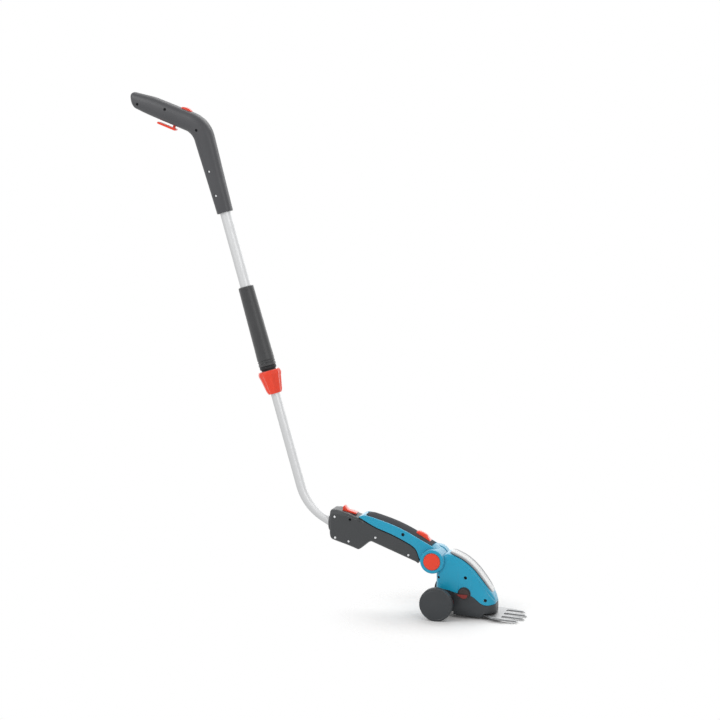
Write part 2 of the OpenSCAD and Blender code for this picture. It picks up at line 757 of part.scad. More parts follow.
module trigger_spring() color(steel) at_grip() {
  h = grip_half(trigger_l);
  from = -h + shell_wall + 5.1;
  translate([from, 0, trigger_to - 8])
    rotate([0, 90, 0])
      spring(2.4, 0.45, -from - seat_gap, 5);
}

module lock_button() color(orange) at_grip() {
  h = grip_half(lock_l);
  translate([0, 5, 0])
    rotate([90, 0, 0])
      linear_extrude(10)
        polygon([
          [h - shell_wall - 4.5, lock_from], [h + 0.6, lock_from], [h + lock_travel - 0.2, lock_from + 4],
          [h + lock_travel + 0.3, lock_mid], [h + lock_travel - 0.2, lock_to - 4],
          [h + 0.6, lock_to], [h - shell_wall - 4.5, lock_to]
        ]);
  translate([h - shell_wall - 6.5, -6.5, lock_from - 2])
    cube([2.5, 13, lock_to - lock_from + 4]);
}

// Shears handle

start_from = -49.5;
start_to = -20;
start_half = 7;

module handle_shell(side) color(turquoise) at_handle()
  difference() {
    union() {
      difference() {
        union() {
          wall(handle_grid(side, false), handle_grid(side, true), side > 0, false, true);
          translate([-handle_len, side > 0 ? 0 : -hidden_half + 0.2, hidden_floor + 1])
            cube([shell_wall, hidden_half - 0.2, rim(-handle_len) - hidden_floor - 2]);
        }
        across(side)
          translate([0, 0, knuckle_half - 0.3])
            cylinder(r = ear_r + move_gap, h = 20);
      }
      rotate([90, 0, 0])
        translate([0, 0, side > 0 ? -knuckle_half : 0])
          cylinder(r = knuckle_r, h = knuckle_half);
    }
    across(side)
      translate([0, 0, -1])
        cylinder(r = hinge_pin_r + run_fit, h = 40);
    translate([start_from - move_gap, -start_half - move_gap, 10])
      cube([start_to - start_from + 2 * move_gap, 2 * start_half + 2 * move_gap, 40]);
    if (side == right)
      translate([-69, 0, 21.4])
        across(right)
          cylinder(r = screw_hole_r, h = 40);
  }

module handle_right() handle_shell(right);
module handle_left() handle_shell(left);

module handle_screws() color(steel) at_handle()
  translate([-69, 0, 21.4])
    side_screw(half_w, 1.2, 8);

pad_stations = concat(
  [for (k = [0:8]) -handle_len + 9 + (handle_len - 69) * k / 8],
  [-53, -46, -39, -32, -25, -19, -15.5, -13.4]
);
function pad_row(s, z) =
  let (
    top = shoulder(s),
    rs = min(5, (top - max(rim(s), hidden_floor + 7.2) - 0.4) * 0.7),
    w = min(pad_half, half_w - rs * 0.6) - 0.5
  )
  let (end = ease((s + handle_len - 8) / 10) * ease((-7 - s) / 10), half = w * mix(0.6, 1, end))
  [
    for (k = [-4:4]) let (f = k / 4)
    [s, half * f, top + crowning(s) * (1 - 0.95 * (half * f / w) ^ 2) - z * mix(1, 0.92, abs(f))]
  ];

module soft_grip() color(dark)
  difference() {
    at_handle()
      wall([for (s = pad_stations) pad_row(s, 0)], [for (s = pad_stations) pad_row(s, pad_t - 0.85)]);
    at_handle()
      translate([start_from - move_gap, -start_half - move_gap, 10])
        cube([start_to - start_from + 2 * move_gap, 2 * start_half + 2 * move_gap, 40]);
  }

module start_button() color(orange) at_handle() {
  rear_top = shoulder(start_from) + crowning(start_from) + start_travel;
  front_top = shoulder(start_to) + crowning(start_to) + 0.6;
  translate([0, start_half, 0])
    rotate([90, 0, 0])
      linear_extrude(2 * start_half)
        polygon(concat(
          [[start_from, 21], [start_from, rear_top - 1.5]],
          [
            [start_from + 1.5, rear_top], [start_from + 6, rear_top + 1.2],
            [start_from + 13, rear_top + 0.9], [start_from + 20, rear_top - 0.6]
          ],
          [[start_to, front_top], [start_to, 21]]
        ));
}

module start_switch() color(black) at_handle()
  translate([start_from + 6, -start_half - move_gap + seat_gap, 14])
    cube([start_to - start_from - 6, 2 * (start_half + move_gap - seat_gap), 3.6]);

carrier_floor = hidden_floor + shell_wall + 0.3;
carrier_half = hidden_half - shell_wall - 0.3;
cell_r = 9.2;
cell_z = carrier_floor + 2 + cell_r + seat_gap;
carrier_top = cell_z + 2;
carrier_from = -handle_len + shell_wall + 4;
hollow_front = -60.6;
cell_len = (hollow_front - carrier_from) / 2 - 3;
board_len = 2 * cell_len - 14;

module battery_carrier() color(black) at_handle()
  difference() {
    translate([carrier_from, -carrier_half, carrier_floor + 4])
      cube([2 * cell_len + 6, 2 * carrier_half, carrier_top - carrier_floor - 4]);
    translate([carrier_from + 2, 0, cell_z])
      rotate([0, 90, 0])
        cylinder(r = cell_r + seat_gap, h = 2 * cell_len + 2);
  }

module battery_cells() color(green) at_handle()
  for (k = [0:1])
    translate([carrier_from + 2.5 + k * (cell_len + 0.6), 0, cell_z])
      rotate([0, 90, 0]) {
        cylinder(r = cell_r, h = cell_len - 1);
        cylinder(r = 3, h = cell_len);
      }

module control_board() color(green) at_handle() {
  translate([carrier_from + 10, -carrier_half + 2, cell_z + cell_r + 1])
    cube([board_len, 2 * carrier_half - 4, 1.6]);
  for (x = [14, board_len + 4])
    for (y = [-1, 1])
      translate([carrier_from + x, y * (carrier_half - 3.5), carrier_top])
        cylinder(r = 1.5, h = cell_z + cell_r + 1.5 - carrier_top);
}

// Cradle and adapter block

latch_from = -33;
latch_to = -6;

block_rear = -handle_len - block_len;
function rear_z(t) = on_handle(block_rear - tan(handle_fall) * (t + socket_drop), t).y;

module cradle(side) color(dark)
  difference() {
    union() {
      at_handle()
        wall(cradle_grid(side, false), cradle_grid(side, true), side > 0);
      in_part()
        translate([socket.x + 0.05, 0, 0])
          rotate([90, 0, 90])
            linear_extrude(3)
              polygon(concat(
                [for (p = cradle_section(block_rear, 0.5)) [side * p.x, rear_z(p.y)]],
                [[0, rear_z(cradle_rim(block_rear) - 0.1)]]
              ));
      at_block_top()
        difference() {
          translate([-block_len - 5, side > 0 ? 0 : -half_w + 0.6, -3])
            cube([block_len + 5, half_w - 0.6, 2.9]);
          translate([-25 - move_gap - latch_travel, -3 - move_gap, -5])
            cube([10 + latch_travel + 2 * move_gap, 6 + 2 * move_gap, 8]);
        }
      at_block_top()
        translate([-36 - latch_travel - 2, side > 0 ? 0 : -8, -9])
          cube([2, 8, 7]);
    }
    at_tube_end()
      rotate([0, 90, 0])
        translate([0, 0, -20])
          cylinder(r = lower_tube_r + 2.5 + seat_gap, h = 60);
    if (side == right)
      at_handle()
        for (p = cradle_holes)
          translate([p.x, 0, p.y])
            across(right)
              cylinder(r = screw_hole_r, h = 40);
  }

cradle_holes = [
  [-handle_len - 43, -2], [-handle_len - 28, -38], [-handle_len - 2, -34],
  [-handle_len * 0.73, -6], [-46, -10]
];

module cradle_right() cradle(right);
module cradle_left() cradle(left);

module cradle_screws() color(steel) at_handle()
  for (p = cradle_holes)
    translate([p.x, 0, p.y])
      side_screw(half_w, 0.6, p.x > -handle_len ? half_w - 0.6 - hidden_half - move_gap : 9);

module release_latch() color(orange) at_block_top() {
  translate([0, 8, 0])
    rotate([90, 0, 0])
      linear_extrude(16)
        polygon([
          [latch_from, move_gap], [latch_from - 0.8, 8.5], [latch_from + 1, 10.5],
          [latch_from + 3, 9.6], [latch_from + 7, 5.6],
          [latch_from + 14, 4.4], [latch_to - 2, 4], [latch_to, 3], [latch_to, move_gap]
        ]);
  translate([-25, -3, -7])
    cube([10, 6, 8]);
  translate([-25, -6, -7.5])
    cube([18, 12, 3]);
}

module latch_spring() color(steel) at_block_top()
  translate([-36 - latch_travel + seat_gap, 0, -6])
    rotate([0, 90, 0])
      spring(1.6, 0.4, latch_travel + 11 - 2 * seat_gap, 6);

// Hinge

module hinge_pin() color(steel) at_handle()
  rotate([90, 0, 0])
    translate([0, 0, -ear_in - ear_web])
      cylinder(r = hinge_pin_r, h = 2 * (ear_in + ear_web));

module at_ear(side) in_part() translate([hinge_x, 0, hinge_z]) across(side) children();
hinge_button_in = ear_out - 5.5;

module hinge_button(side) color(orange) at_ear(side)
  rotate_extrude()
    polygon(concat(
      [[0, hinge_button_in], [hinge_button_r, hinge_button_in]],
      arc([hinge_button_r - 1.2, ear_out - 0.4], 1.2, 0, 90, 4),
      [[hinge_button_r * 0.5, ear_out + 1.3], [0, ear_out + 1.5]]
    ));

module hinge_button_right() hinge_button(right);
module hinge_button_left() hinge_button(left);

module hinge_spring(side) color(steel) at_ear(side)
  translate([0, 0, ear_in + ear_web + seat_gap])
    spring(hinge_pin_r + 3, 0.6, hinge_button_in - ear_in - ear_web - 2 * seat_gap, 3);

module hinge_spring_right() hinge_spring(right);
module hinge_spring_left() hinge_spring(left);

// Head

head_holes = [[47, 75.5, 27.5], [84, 36, 28.5], [-3, 73, 27]];

module head_shell(side) color(turquoise)
  difference() {
    union() {
      in_part() {
        wall(head_grid(side, 0), head_grid(side, shell_wall), side > 0);
        translate([head_rear, side > 0 ? 0 : -head_half + 8.4, head_seam(head_rear) + 0.3])
          cube([shell_wall, head_half - 8.4, 26]);
      }
      at_ear(side)
        translate([0, 0, ear_in])
          cylinder(r = ear_r, h = ear_out - ear_in);
    }
    at_ear(side) {
      translate([0, 0, -1])
        cylinder(r = ear_r - 1 + move_gap, h = ear_in + 1);
      translate([0, 0, ear_in + ear_web])
        cylinder(r = hinge_button_r + move_gap, h = 40);
      translate([0, 0, -1])
        cylinder(r = hinge_pin_r + run_fit, h = 60);
    }
    if (side == right)
      in_part()
        for (p = head_holes)
          translate([p.x, 0, p.y])
            across(right)
              cylinder(r = screw_hole_r, h = 60);
  }

module head_right() head_shell(right);
module head_left() head_shell(left);

module head_screws() color(steel) in_part()
  for (p = head_holes)
    translate([p.x, 0, p.y])
      side_screw(p.z, 2, 8);

trim_stations = [15, 17, 20, 26, 32, 38, 44, 50, 56, 62, 68, 74, 80, 85, 89, 92, 94];
function trim_row(x, z) =
  let (end = ease((x - 12) / 8) * ease((97 - x) / 10), half = (head_crown(x) - 4.5) * mix(0.55, 1, end))
  [for (k = [-4:4]) let (f = k / 4) [x, half * f, head_top(x) + 1.15 - 0.35 * f * f + z]];

module head_trim() color(black) in_part()
  wall([for (x = trim_stations) trim_row(x, 2)], [for (x = trim_stations) trim_row(x, 0)]);

module gear_case() color(dark)
  difference() {
    in_part()
      wall(case_grid(false), case_grid(true), false, true);
    in_part()
      for (side = [right, left])
        translate([knob_ahead, 0, knob_rise])
          across(side)
            cylinder(r = 4 + run_fit, h = 60);
  }

cover_len = cover_front - case_rear - shell_wall - seat_gap * 2;
cover_t = 1.8;

holder_from = -13;
holder_to = 8.5;
holder_half = head_half - 4;
holder_t = 2;

// The cover runs on as a flat holder under the lower blade
module base_cover() color(dark) {
  in_part()
    translate([cover_front, -case_half + seat_gap * 2, base_rise])
      rotate([0, base_tilt, 0])
        translate([-cover_len, 0, 0])
          cube([cover_len, 2 * case_half - seat_gap * 4, cover_t]);
  at_blades()
    translate([holder_from, -holder_half, -holder_t])
      cube([holder_to - holder_from, 2 * holder_half, holder_t - seat_gap]);
}

// Drive, in the blades' frame

leg_at = [-44, 18];
leg_r = 4;
plate_from = -57.5;
plate_to = -14;

module motor_plate() color(steel) at_blades()
  difference() {
    union() {
      translate([plate_from, -case_half + 0.25, plate_z])
        cube([plate_to - plate_from, 2 * case_half - 0.5, plate_t]);
      for (y = [-1, 1])
        translate([leg_at.x, y * leg_at.y, blade_t])
          cylinder(r = leg_r, h = plate_z - blade_t + 0.5);
    }
    translate([motor_at, 0, plate_z - 1])
      cylinder(r = pinion_r + 2.2, h = plate_t + 2);
    translate([crank_at, 0, plate_z - 1])
      cylinder(r = 2.5 + 0.02, h = plate_t + 2);
    for (y = [-1, 1])
      translate([leg_at.x, y * leg_at.y, 0])
        cylinder(r = 1.6 + 0.02, h = 9);
  }

module motor() color(steel) at_blades()
  translate([motor_at, 0, plate_z + plate_t])
    difference() {
      union() {
        cylinder(r = motor_d / 2, h = motor_len - 6);
        translate([0, 0, motor_len - 6.5])
          cylinder(r = motor_d / 2 - 1, h = 6.5);
        for (y = [-1, 1])
          translate([-1.5, y * 8 - 0.4, motor_len - 1])
            cube([3, 0.8, 6]);
      }
      translate([0, 0, -1])
        cylinder(r = 1.15 + run_fit, h = 13);
    }

// Slim straight-sided teeth, one tooth's middle at the angle given
module toothed(n, height, turn) {
  r = tooth_module * n / 2;
  pitch = 360 / n;
  root = r - tooth_module * 1.15;
  tip = r + tooth_module * 0.8;
  linear_extrude(height)
    polygon([
      for (k = [0:n - 1]) let (a = k * pitch + turn)
      for (q = [[root, -0.27], [tip, -0.1], [tip, 0.1], [root, 0.27]])
        q[0] * [cos(a + q[1] * pitch), sin(a + q[1] * pitch)]
    ]);
}

module motor_pinion() color(brass) at_blades()
  translate([motor_at, 0, 0]) {
    translate([0, 0, gear_z + 0.4])
      toothed(pinion_teeth, gear_t - 0.4, 0);
    translate([0, 0, gear_z + 1])
      cylinder(r = 1.15, h = plate_z + plate_t + 10 - gear_z);
  }

crank_pin_r = 2;

module crank_gear() color(black) at_blades()
  translate([crank_at, 0, 0])
    difference() {
      union() {
        translate([0, 0, gear_z])
          toothed(gear_teeth, gear_t, 180 / gear_teeth);
        translate([crank_throw, 0, upper_blade_z + 0.4])
          cylinder(r = crank_pin_r, h = gear_z - upper_blade_z);
      }
      translate([0, 0, gear_z + 1.5])
        cylinder(r = 2.5 + run_fit, h = gear_t);
    }

module gear_shaft() color(steel) at_blades()
  translate([crank_at, 0, gear_z + 1.9])
    cylinder(r = 2.5, h = plate_z + plate_t - gear_z - 1.9);

// Half of a blade's outline: a tail, a flared body, and four teeth with rounded tips
tooth_root = 26;
tooth_pitch = blade_w * 0.284;
function tooth_tip(y, reach) = reach - 8.5 * (y / (1.5 * tooth_pitch)) ^ 2;
function tooth(y, reach, root_half, tip_half) =
  let (tip = tooth_tip(y, reach) - tip_half)
  concat([[tooth_root, y - root_half]], arc([tip, y], tip_half, -80, 80, 6), [[tooth_root, y + root_half]]);

module blade_outline(tail_from, tail, body, reach, root_half, tip_half)
  polygon(concat(
    [[tail_from, -tail], [-12, -tail], [-1, -body * 0.82], [10, -body]],
    [for (k = [0:3]) each tooth((k - 1.5) * tooth_pitch, reach, root_half, tip_half)],
    [[10, body], [-1, body * 0.82], [-12, tail], [tail_from, tail]]
  ));

module lower_blade() color(steel) at_blades()
  linear_extrude(blade_t)
    difference() {
      blade_outline(-60, case_half - 3, blade_w / 2 - 1, blade_reach, 6.2, 2.4);
      translate([pivot_at, 0])
        circle(r = pivot_d / 2 + 0.02);
      for (y = [-1, 1])
        translate([leg_at.x, y * leg_at.y])
          circle(r = 1.6 + 0.02);
    }

module upper_blade() color(steel) at_blades()
  translate([0, 0, upper_blade_z])
    linear_extrude(blade_t)
      difference() {
        union() {
          blade_outline(-36, 13.6, blade_w / 2 - 2.5, blade_reach - 3, 5.2, 2);
          translate([pivot_at, 0])
            circle(r = pivot_d / 2 + 2.4);
          translate([pivot_at, -pivot_d / 2 - 2.4])
            square([24, pivot_d + 4.8]);
        }
        translate([pivot_at, 0])
          circle(r = pivot_d / 2 + run_fit);
        translate([crank_at - crank_throw - crank_pin_r - 0.6, -crank_throw * 2 - crank_pin_r - 0.5])
          square([2 * (crank_throw + crank_pin_r + 0.6), 2 * (crank_throw * 2 + crank_pin_r + 0.5)]);
      }

module blade_pivot() color(steel) at_blades()
  translate([pivot_at, 0, 0]) {
    translate([0, 0, -1.6])
      cylinder(r = pivot_d / 2 + 2, h = 1.6);
    cylinder(r = pivot_d / 2, h = plate_z);
  }

module blade_screws() color(steel) at_blades()
  for (y = [-1, 1])
    translate([leg_at.x, y * leg_at.y, -1.4])
      rotate([180, 0, 0])
        screw(3, 1.4, 1.6, 9);

// Wheels and their locks

module wheel_carrier() color(dark) in_part()
  difference() {
    union() {
      translate([0, head_half - 4, 0])
        rotate([90, 0, 0])
          linear_extrude(head_w - 8)
            polygon([
              [case_rear - 0.2, 12], [case_rear - 0.2, 46.5], [14, 50.3], [head_rear + 3, 52],
              [head_rear + 1, axle_z + 6], [head_rear + 1, axle_z - 6], [2, 14]
            ]);
      translate([0, wheel_in - 1, axle_z])
        rotate([90, 0, 0])
          cylinder(r = axle_r + 4, h = 2 * wheel_in - 2);
    }
    translate([0, 100, axle_z])
      rotate([90, 0, 0])
        cylinder(r = axle_r + 0.02, h = 200);
  }

axle_end = track / 2 + wheel_w / 2 - 3;

module wheel_axle() color(steel) in_part()
  translate([0, axle_end, axle_z])
    rotate([90, 0, 0])
      cylinder(r = axle_r, h = 2 * axle_end);

module wheel(side) color(dark) in_part()
  translate([0, 0, axle_z])
    across(side)
      rotate_extrude()
        polygon(concat(
          [
            [0, axle_end + move_gap], [axle_r + run_fit, axle_end + move_gap],
            [axle_r + run_fit, wheel_in + 0.2]
          ],
          [
            [axle_r + 5, wheel_in + 0.2], [axle_r + 6, wheel_in + wheel_w - 5],
            [axle_z - 6, wheel_in + wheel_w - 5], [axle_z - 5, wheel_in]
          ],
          [[axle_z - 1.2, wheel_in], [axle_z, wheel_in + 1.2], [axle_z, wheel_in + wheel_w - 1.8]],
          arc([axle_z - 1.8, wheel_in + wheel_w - 1.8], 1.8, 0, 90, 4),
          [[0, wheel_in + wheel_w]]
        ));

module wheel_right() wheel(right);
module wheel_left() wheel(left);

module at_knob(side) in_part() translate([knob_ahead, 0, knob_rise]) across(side) children();
knob_face = head_half + 4.2;

module lock_knob(side) color(black) at_knob(side) {
  translate([0, 0, head_half + move_gap])
    cylinder(r = knob_d / 2, h = knob_face - head_half - move_gap);
  translate([0, 0, case_half - 1])
    cylinder(r = 4, h = head_half - case_half + 2);
  translate([0, 0, case_half - move_gap - 2.5])
    cylinder(r = 6.5, h = 2.5);
}

module lock_knob_right() lock_knob(right);
module lock_knob_left() lock_knob(left);

module lock_pointer(side) color(orange) at_knob(side)
  translate([0, 0, knob_face])
    linear_extrude(2.2)
      difference() {
        union() {
          circle(r = knob_d / 2 - 1.8);
          polygon([[-knob_d / 2 - 3, -1.5], [-2, -6.6], [-2, 6.6], [-knob_d / 2 - 3, 1.5]]);
        }
        translate([-20, side > 0 ? -20 : 0.5])
          square([40, 19.5]);
      }

module lock_pointer_right() lock_pointer(right);
module lock_pointer_left() lock_pointer(left);

upper_tube();
grip_sleeve();
clamp_body();
clamp_collar();
top_handle_right();
top_handle_left();
top_handle_screws();
trigger();
trigger_switch();
trigger_spring();
lock_button();
lower_tube();
tube_guide();
socket_bush();
cradle_right();
cradle_left();
cradle_screws();
release_latch();
latch_spring();
handle_right();
handle_left();
soft_grip();
handle_screws();
start_button();
start_switch();
battery_carrier();
battery_cells();
control_board();
hinge_pin();
hinge_button_right();
hinge_button_left();
hinge_spring_right();
hinge_spring_left();
head_right();
head_left();
head_trim();
head_screws();
gear_case();
base_cover();
motor();
motor_plate();
motor_pinion();
crank_gear();
gear_shaft();
lower_blade();
upper_blade();
blade_pivot();
blade_screws();
wheel_carrier();
wheel_axle();
wheel_right();
wheel_left();
lock_knob_right();
lock_knob_left();
lock_pointer_right();
lock_pointer_left();
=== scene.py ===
"""Looks of cordless grass shears on a telescopic pole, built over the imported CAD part.

Pieces are drawn in millimetres in a frame of their own (pole, hand grip, shears handle, head,
blades), and seat() sets each one into the part's frame, on the body that it moves with.
"""

import json
from math import atan2, copysign, cos, degrees, pi, radians, sin, sqrt, tan

import bmesh
import bpy
from mathutils import Matrix, Vector


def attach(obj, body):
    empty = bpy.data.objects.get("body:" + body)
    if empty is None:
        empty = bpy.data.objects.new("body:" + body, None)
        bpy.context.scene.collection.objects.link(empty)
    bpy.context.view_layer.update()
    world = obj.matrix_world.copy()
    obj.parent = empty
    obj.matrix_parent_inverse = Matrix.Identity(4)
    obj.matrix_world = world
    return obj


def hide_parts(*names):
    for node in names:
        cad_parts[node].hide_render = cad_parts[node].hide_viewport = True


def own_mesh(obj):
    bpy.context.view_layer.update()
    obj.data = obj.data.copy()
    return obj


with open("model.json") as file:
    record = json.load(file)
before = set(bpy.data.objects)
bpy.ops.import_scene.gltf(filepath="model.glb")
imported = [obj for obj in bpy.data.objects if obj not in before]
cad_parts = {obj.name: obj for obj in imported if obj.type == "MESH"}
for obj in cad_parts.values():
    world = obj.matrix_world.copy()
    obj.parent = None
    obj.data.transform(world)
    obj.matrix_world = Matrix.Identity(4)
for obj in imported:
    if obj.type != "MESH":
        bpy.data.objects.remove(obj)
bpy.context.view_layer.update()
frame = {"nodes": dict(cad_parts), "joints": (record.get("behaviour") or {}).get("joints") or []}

# Sizes, in millimetres and degrees

RIGHT, LEFT = -1, 1
SIDE_NAMES = {RIGHT: "right", LEFT: "left"}
shell = 2.4
gap = 0.4
seam = 0.12
screw_r, screw_hole_r = 2.3, 2.4

# Pole, clamp and sleeve
pole_lean, tube_fall = 16, 30
lower_tube_r, lower_bore_r = 8.5, 7.3
upper_tube_r, upper_bore_r = 10.02, 8.82
tube_start, tube_top, inner_top = 22, 439, 420
lower_run, bend_r, tube_entry, tube_depth = 217, 95, 59, 33
collar_len, collar_r, collar_ribs, first_rib = 44, 22, 10, 8
neck_r = upper_tube_r + 3.6
sleeve_foot, sleeve_len, sleeve_r = 53, 152, 16.25
stem_foot = 347

# Top handle
stem_len, stem_depth = 142, 29
grip_turn, grip_bend_r, grip_len = 53, 45, 125
grip_depth, grip_width = 36, 32
grip_bend_len = grip_bend_r * radians(grip_turn)
grip_start = stem_len + grip_bend_len
spine_len = grip_start + grip_len
rear_cap, rear_slant = 9, 0.55

# Hinge, shears handle and cradle
hinge_x, hinge_z = -15.4, 101.3
ear_r, ear_in, ear_out, ear_web = 22, 14.1, 30, 5
knuckle_r, knuckle_half, hinge_pin_r, hinge_button_r = 21, 13.7, 6, 15.5
handle_fall, handle_len, half_w = 21, 157, 21
pad_rise, pad_t, pad_half, pad_inset, pad_front = 35, 2.6, 17, 9, -13.4
handle_screw = (-69, 21.4)
cradle_depth, cradle_front, block_len, block_drop = 17, -24, 47, 25
hidden_half, hidden_floor = half_w - shell - gap, -cradle_depth + shell + gap
block_top, block_slope, socket_drop, fill_end = 16.2, 8, 20, -158.4
block_rear = -handle_len - block_len

# Head, base, wheels and blades
head_rear, head_front, head_half, crown_half = -8, 100, 30, 23.5
trim_rear, trim_front = 15, 94
knob_x, knob_z, knob_r, knob_ring = 45.6, 46.7, 9.6, 12
case_rear, case_front, case_half = 26, 100.6, head_half - shell
base_rise, base_tilt, cover_front = 5, 2.5, 80
wheel_r, wheel_w, wheel_in, axle_r, axle_end = 30.5, 12, 50.5, 4, 59.5
blade_fall, blade_t, blade_reach, blade_w = 5, 1.5, 64, 80
blade_x, blade_z, pivot_x = 90, 7, -56


# Frames

def move(x, y, z):
    return Matrix.Translation((x, y, z))


def turn(axis, angle):
    return Matrix.Rotation(radians(angle), 4, axis)


def across(side):
    """A frame whose Z points out of one side of the shears."""
    return turn("X", -90 * side)


def on_handle(s, t):
    """A place along and above the handle's line, as X and Z from the wheel axle."""
    fall = radians(handle_fall)
    return Vector((hinge_x + s * cos(fall) + t * sin(fall), hinge_z - s * sin(fall) + t * cos(fall)))


axle_x = next(j for j in frame["joints"] if j["name"] == "wheel_spin_right")["pos_m"][0]
pole_up = Vector((-sin(radians(pole_lean)), cos(radians(pole_lean))))
tube_down = Vector((cos(radians(tube_fall)), -sin(radians(tube_fall))))
socket = on_handle(block_rear, -socket_drop)
bend_corner = socket - tube_entry * tube_down
pole_foot = bend_corner + lower_run * pole_up

PART = move(axle_x, 0, 0) @ Matrix.Scale(0.001, 4)
POLE = PART @ move(pole_foot.x, 0, pole_foot.y) @ turn("Y", -pole_lean)
HANDLE = PART @ move(hinge_x, 0, hinge_z) @ turn("Y", handle_fall)
BLADES = PART @ move(blade_x, 0, blade_z) @ turn("Y", blade_fall)
TO_BLOCK_TOP = move(-handle_len - 3, 0, block_top) @ turn("Y", -block_slope)
BLOCK_TOP = HANDLE @ TO_BLOCK_TOP
HANDLE_TO_PART = PART.inverted() @ HANDLE
TO_TUBE_END = HANDLE.inverted() @ PART @ move(socket.x, 0, socket.y) @ turn("Y", tube_fall + 90)


# Curves

def clamp(x, low, high):
    return max(low, min(high, x))


def mix(a, b, f):
    return a + (b - a) * f


def ease(f):
    c = clamp(f, 0, 1)
    return c * c * (3 - 2 * c)


def spread(a, b, n):
    return [mix(a, b, k / n) for k in range(n + 1)]


def arc(x, y, r, start, stop, n, squash=1.0):
    return [(x + r * cos(radians(a)) * squash, y + r * sin(radians(a))) for a in spread(start, stop, n)]


def curve(points, x):
    """A smooth curve through a short list of (place, value) points."""
    i = 0
    while i < len(points) - 2 and x > points[i + 1][0]:
        i += 1
    slopes = [(b[1] - a[1]) / (b[0] - a[0]) for a, b in zip(points, points[1:])]
    start = slopes[i] if i == 0 else (slopes[i] + slopes[i - 1]) / 2
    stop = slopes[i] if i == len(slopes) - 1 else (slopes[i] + slopes[i + 1]) / 2
    width = points[i + 1][0] - points[i][0]
    f = clamp((x - points[i][0]) / width, 0, 1)
    return (
        (2 * f**3 - 3 * f**2 + 1) * points[i][1] + (f**3 - 2 * f**2 + f) * width * start
        + (3 * f**2 - 2 * f**3) * points[i + 1][1] + (f**3 - f**2) * width * stop
    )


# Solids

def solid(points, faces):
    """A closed mesh in millimetres, its faces turned outwards."""
    mesh = bpy.data.meshes.new("blank")
    mesh.from_pydata(points, [], faces)
    work = bmesh.new()
    work.from_mesh(mesh)
    bmesh.ops.recalc_face_normals(work, faces=work.faces)
    work.to_mesh(mesh)
    work.free()
    blank = bpy.data.objects.new("blank", mesh)
    bpy.context.scene.collection.objects.link(blank)
    return blank


def wall(outer, inner, ring=False, cap=False):
    """A wall between two grids of points, closed along its edges, or by flat caps at its far end."""
    rows, cols = len(outer), len(outer[0])
    n, end = rows * cols, (rows - 1) * cols
    points = [p for grid in (outer, inner) for row in grid for p in row]
    faces = []
    for i in range(rows if ring else rows - 1):
        a, b, c = i * cols, (i + 1) % rows * cols, cols - 1
        for j in range(c):
            faces.append((a + j, a + j + 1, b + j + 1, b + j))
            faces.append((n + a + j, n + b + j, n + b + j + 1, n + a + j + 1))
        faces.append((a, b, n + b, n + a))
        faces.append((b + c, a + c, n + a + c, n + b + c))
    for first in [] if ring else [0] if cap else [0, end]:
        faces += [(first + j + 1, first + j, n + first + j, n + first + j + 1) for j in range(cols - 1)]
    if cap:
        faces += [tuple(range(end, n)), tuple(range(2 * n - 1, n + end - 1, -1))]
        faces.append((end, n - 1, 2 * n - 1, n + end))
    return solid(points, faces)


def turned(profile, steps=72):
    """A solid turned around Z from an outline of radii and heights, which may change with the angle."""
    points, rings = [], []
    outlines = [profile(360 * k / steps) if callable(profile) else profile for k in range(steps)]
    for j, (r, z) in enumerate(outlines[0]):
        if r < 1e-6:
            rings.append([len(points)] * steps)
            points.append((0, 0, z))
            continue
        rings.append(list(range(len(points), len(points) + steps)))
        for k, outline in enumerate(outlines):
            a = 2 * pi * k / steps
            points.append((outline[j][0] * cos(a), outline[j][0] * sin(a), outline[j][1]))
    faces = []
    for a, b in zip(rings, rings[1:] + rings[:1]):
        for k in range(steps):
            corners = list(dict.fromkeys([a[k], a[(k + 1) % steps], b[(k + 1) % steps], b[k]]))
            if len(corners) > 2:
                faces.append(corners)
    return solid(points, faces)


def lofted(rows):
    """A solid through a row of closed outlines, with flat ends."""
    n = len(rows[0])
    points = [p for row in rows for p in row]
    faces = [tuple(range(n)), tuple(range(len(points) - n, len(points)))]
    for a in range(0, len(points) - n, n):
        faces += [(a + j, a + (j + 1) % n, a + n + (j + 1) % n, a + n + j) for j in range(n)]
    return solid(points, faces)


def drawn(outline, low, high, along="Y"):
    """A flat outline drawn out along one axis: X and Z along Y, or X and Y along Z."""
    return lofted([[(u, w, v) if along == "Y" else (u, v, w) for u, v in outline] for w in (low, high)])


def domed(outline, half, fall, foot, rise):
    """An outline drawn out to both sides, its top falling away towards them."""
    rows = []
    for f in [-1, -0.88] + spread(-0.76, 0.76, 9) + [0.88, 1]:
        drop = fall * (1 - sqrt(1 - 0.97 * f * f))
        rows.append([(x, half * f, z - drop * ease((z - foot) / rise)) for x, z in outline])
    return lofted(rows)


def coil(r, wire, length, turns):
    """A wire spring along Z."""
    rows = []
    for k in range(turns * 20 + 1):
        a, z = radians(18 * k), mix(wire, length - wire, k / (turns * 20))
        section = arc(r, z, wire, 0, 324, 9)
        rows.append([(out * cos(a), out * sin(a), height) for out, height in section])
    return lofted(rows)


def block(low, high):
    """A box between two corners."""
    (x0, y0, z0), (x1, y1, z1) = low, high
    return drawn([(x0, z0), (x1, z0), (x1, z1), (x0, z1)], y0, y1)


def settled(piece):
    """Takes a piece's modifiers into its mesh."""
    shape = piece.evaluated_get(bpy.context.evaluated_depsgraph_get())
    mesh = bpy.data.meshes.new_from_object(shape)
    piece.modifiers.clear()
    piece.data = mesh
    return piece


def rounded(piece, width, angle=40, segments=3):
    bevel = piece.modifiers.new("Rounded edges", "BEVEL")
    bevel.width, bevel.segments, bevel.angle_limit = width, segments, radians(angle)
    return settled(piece)


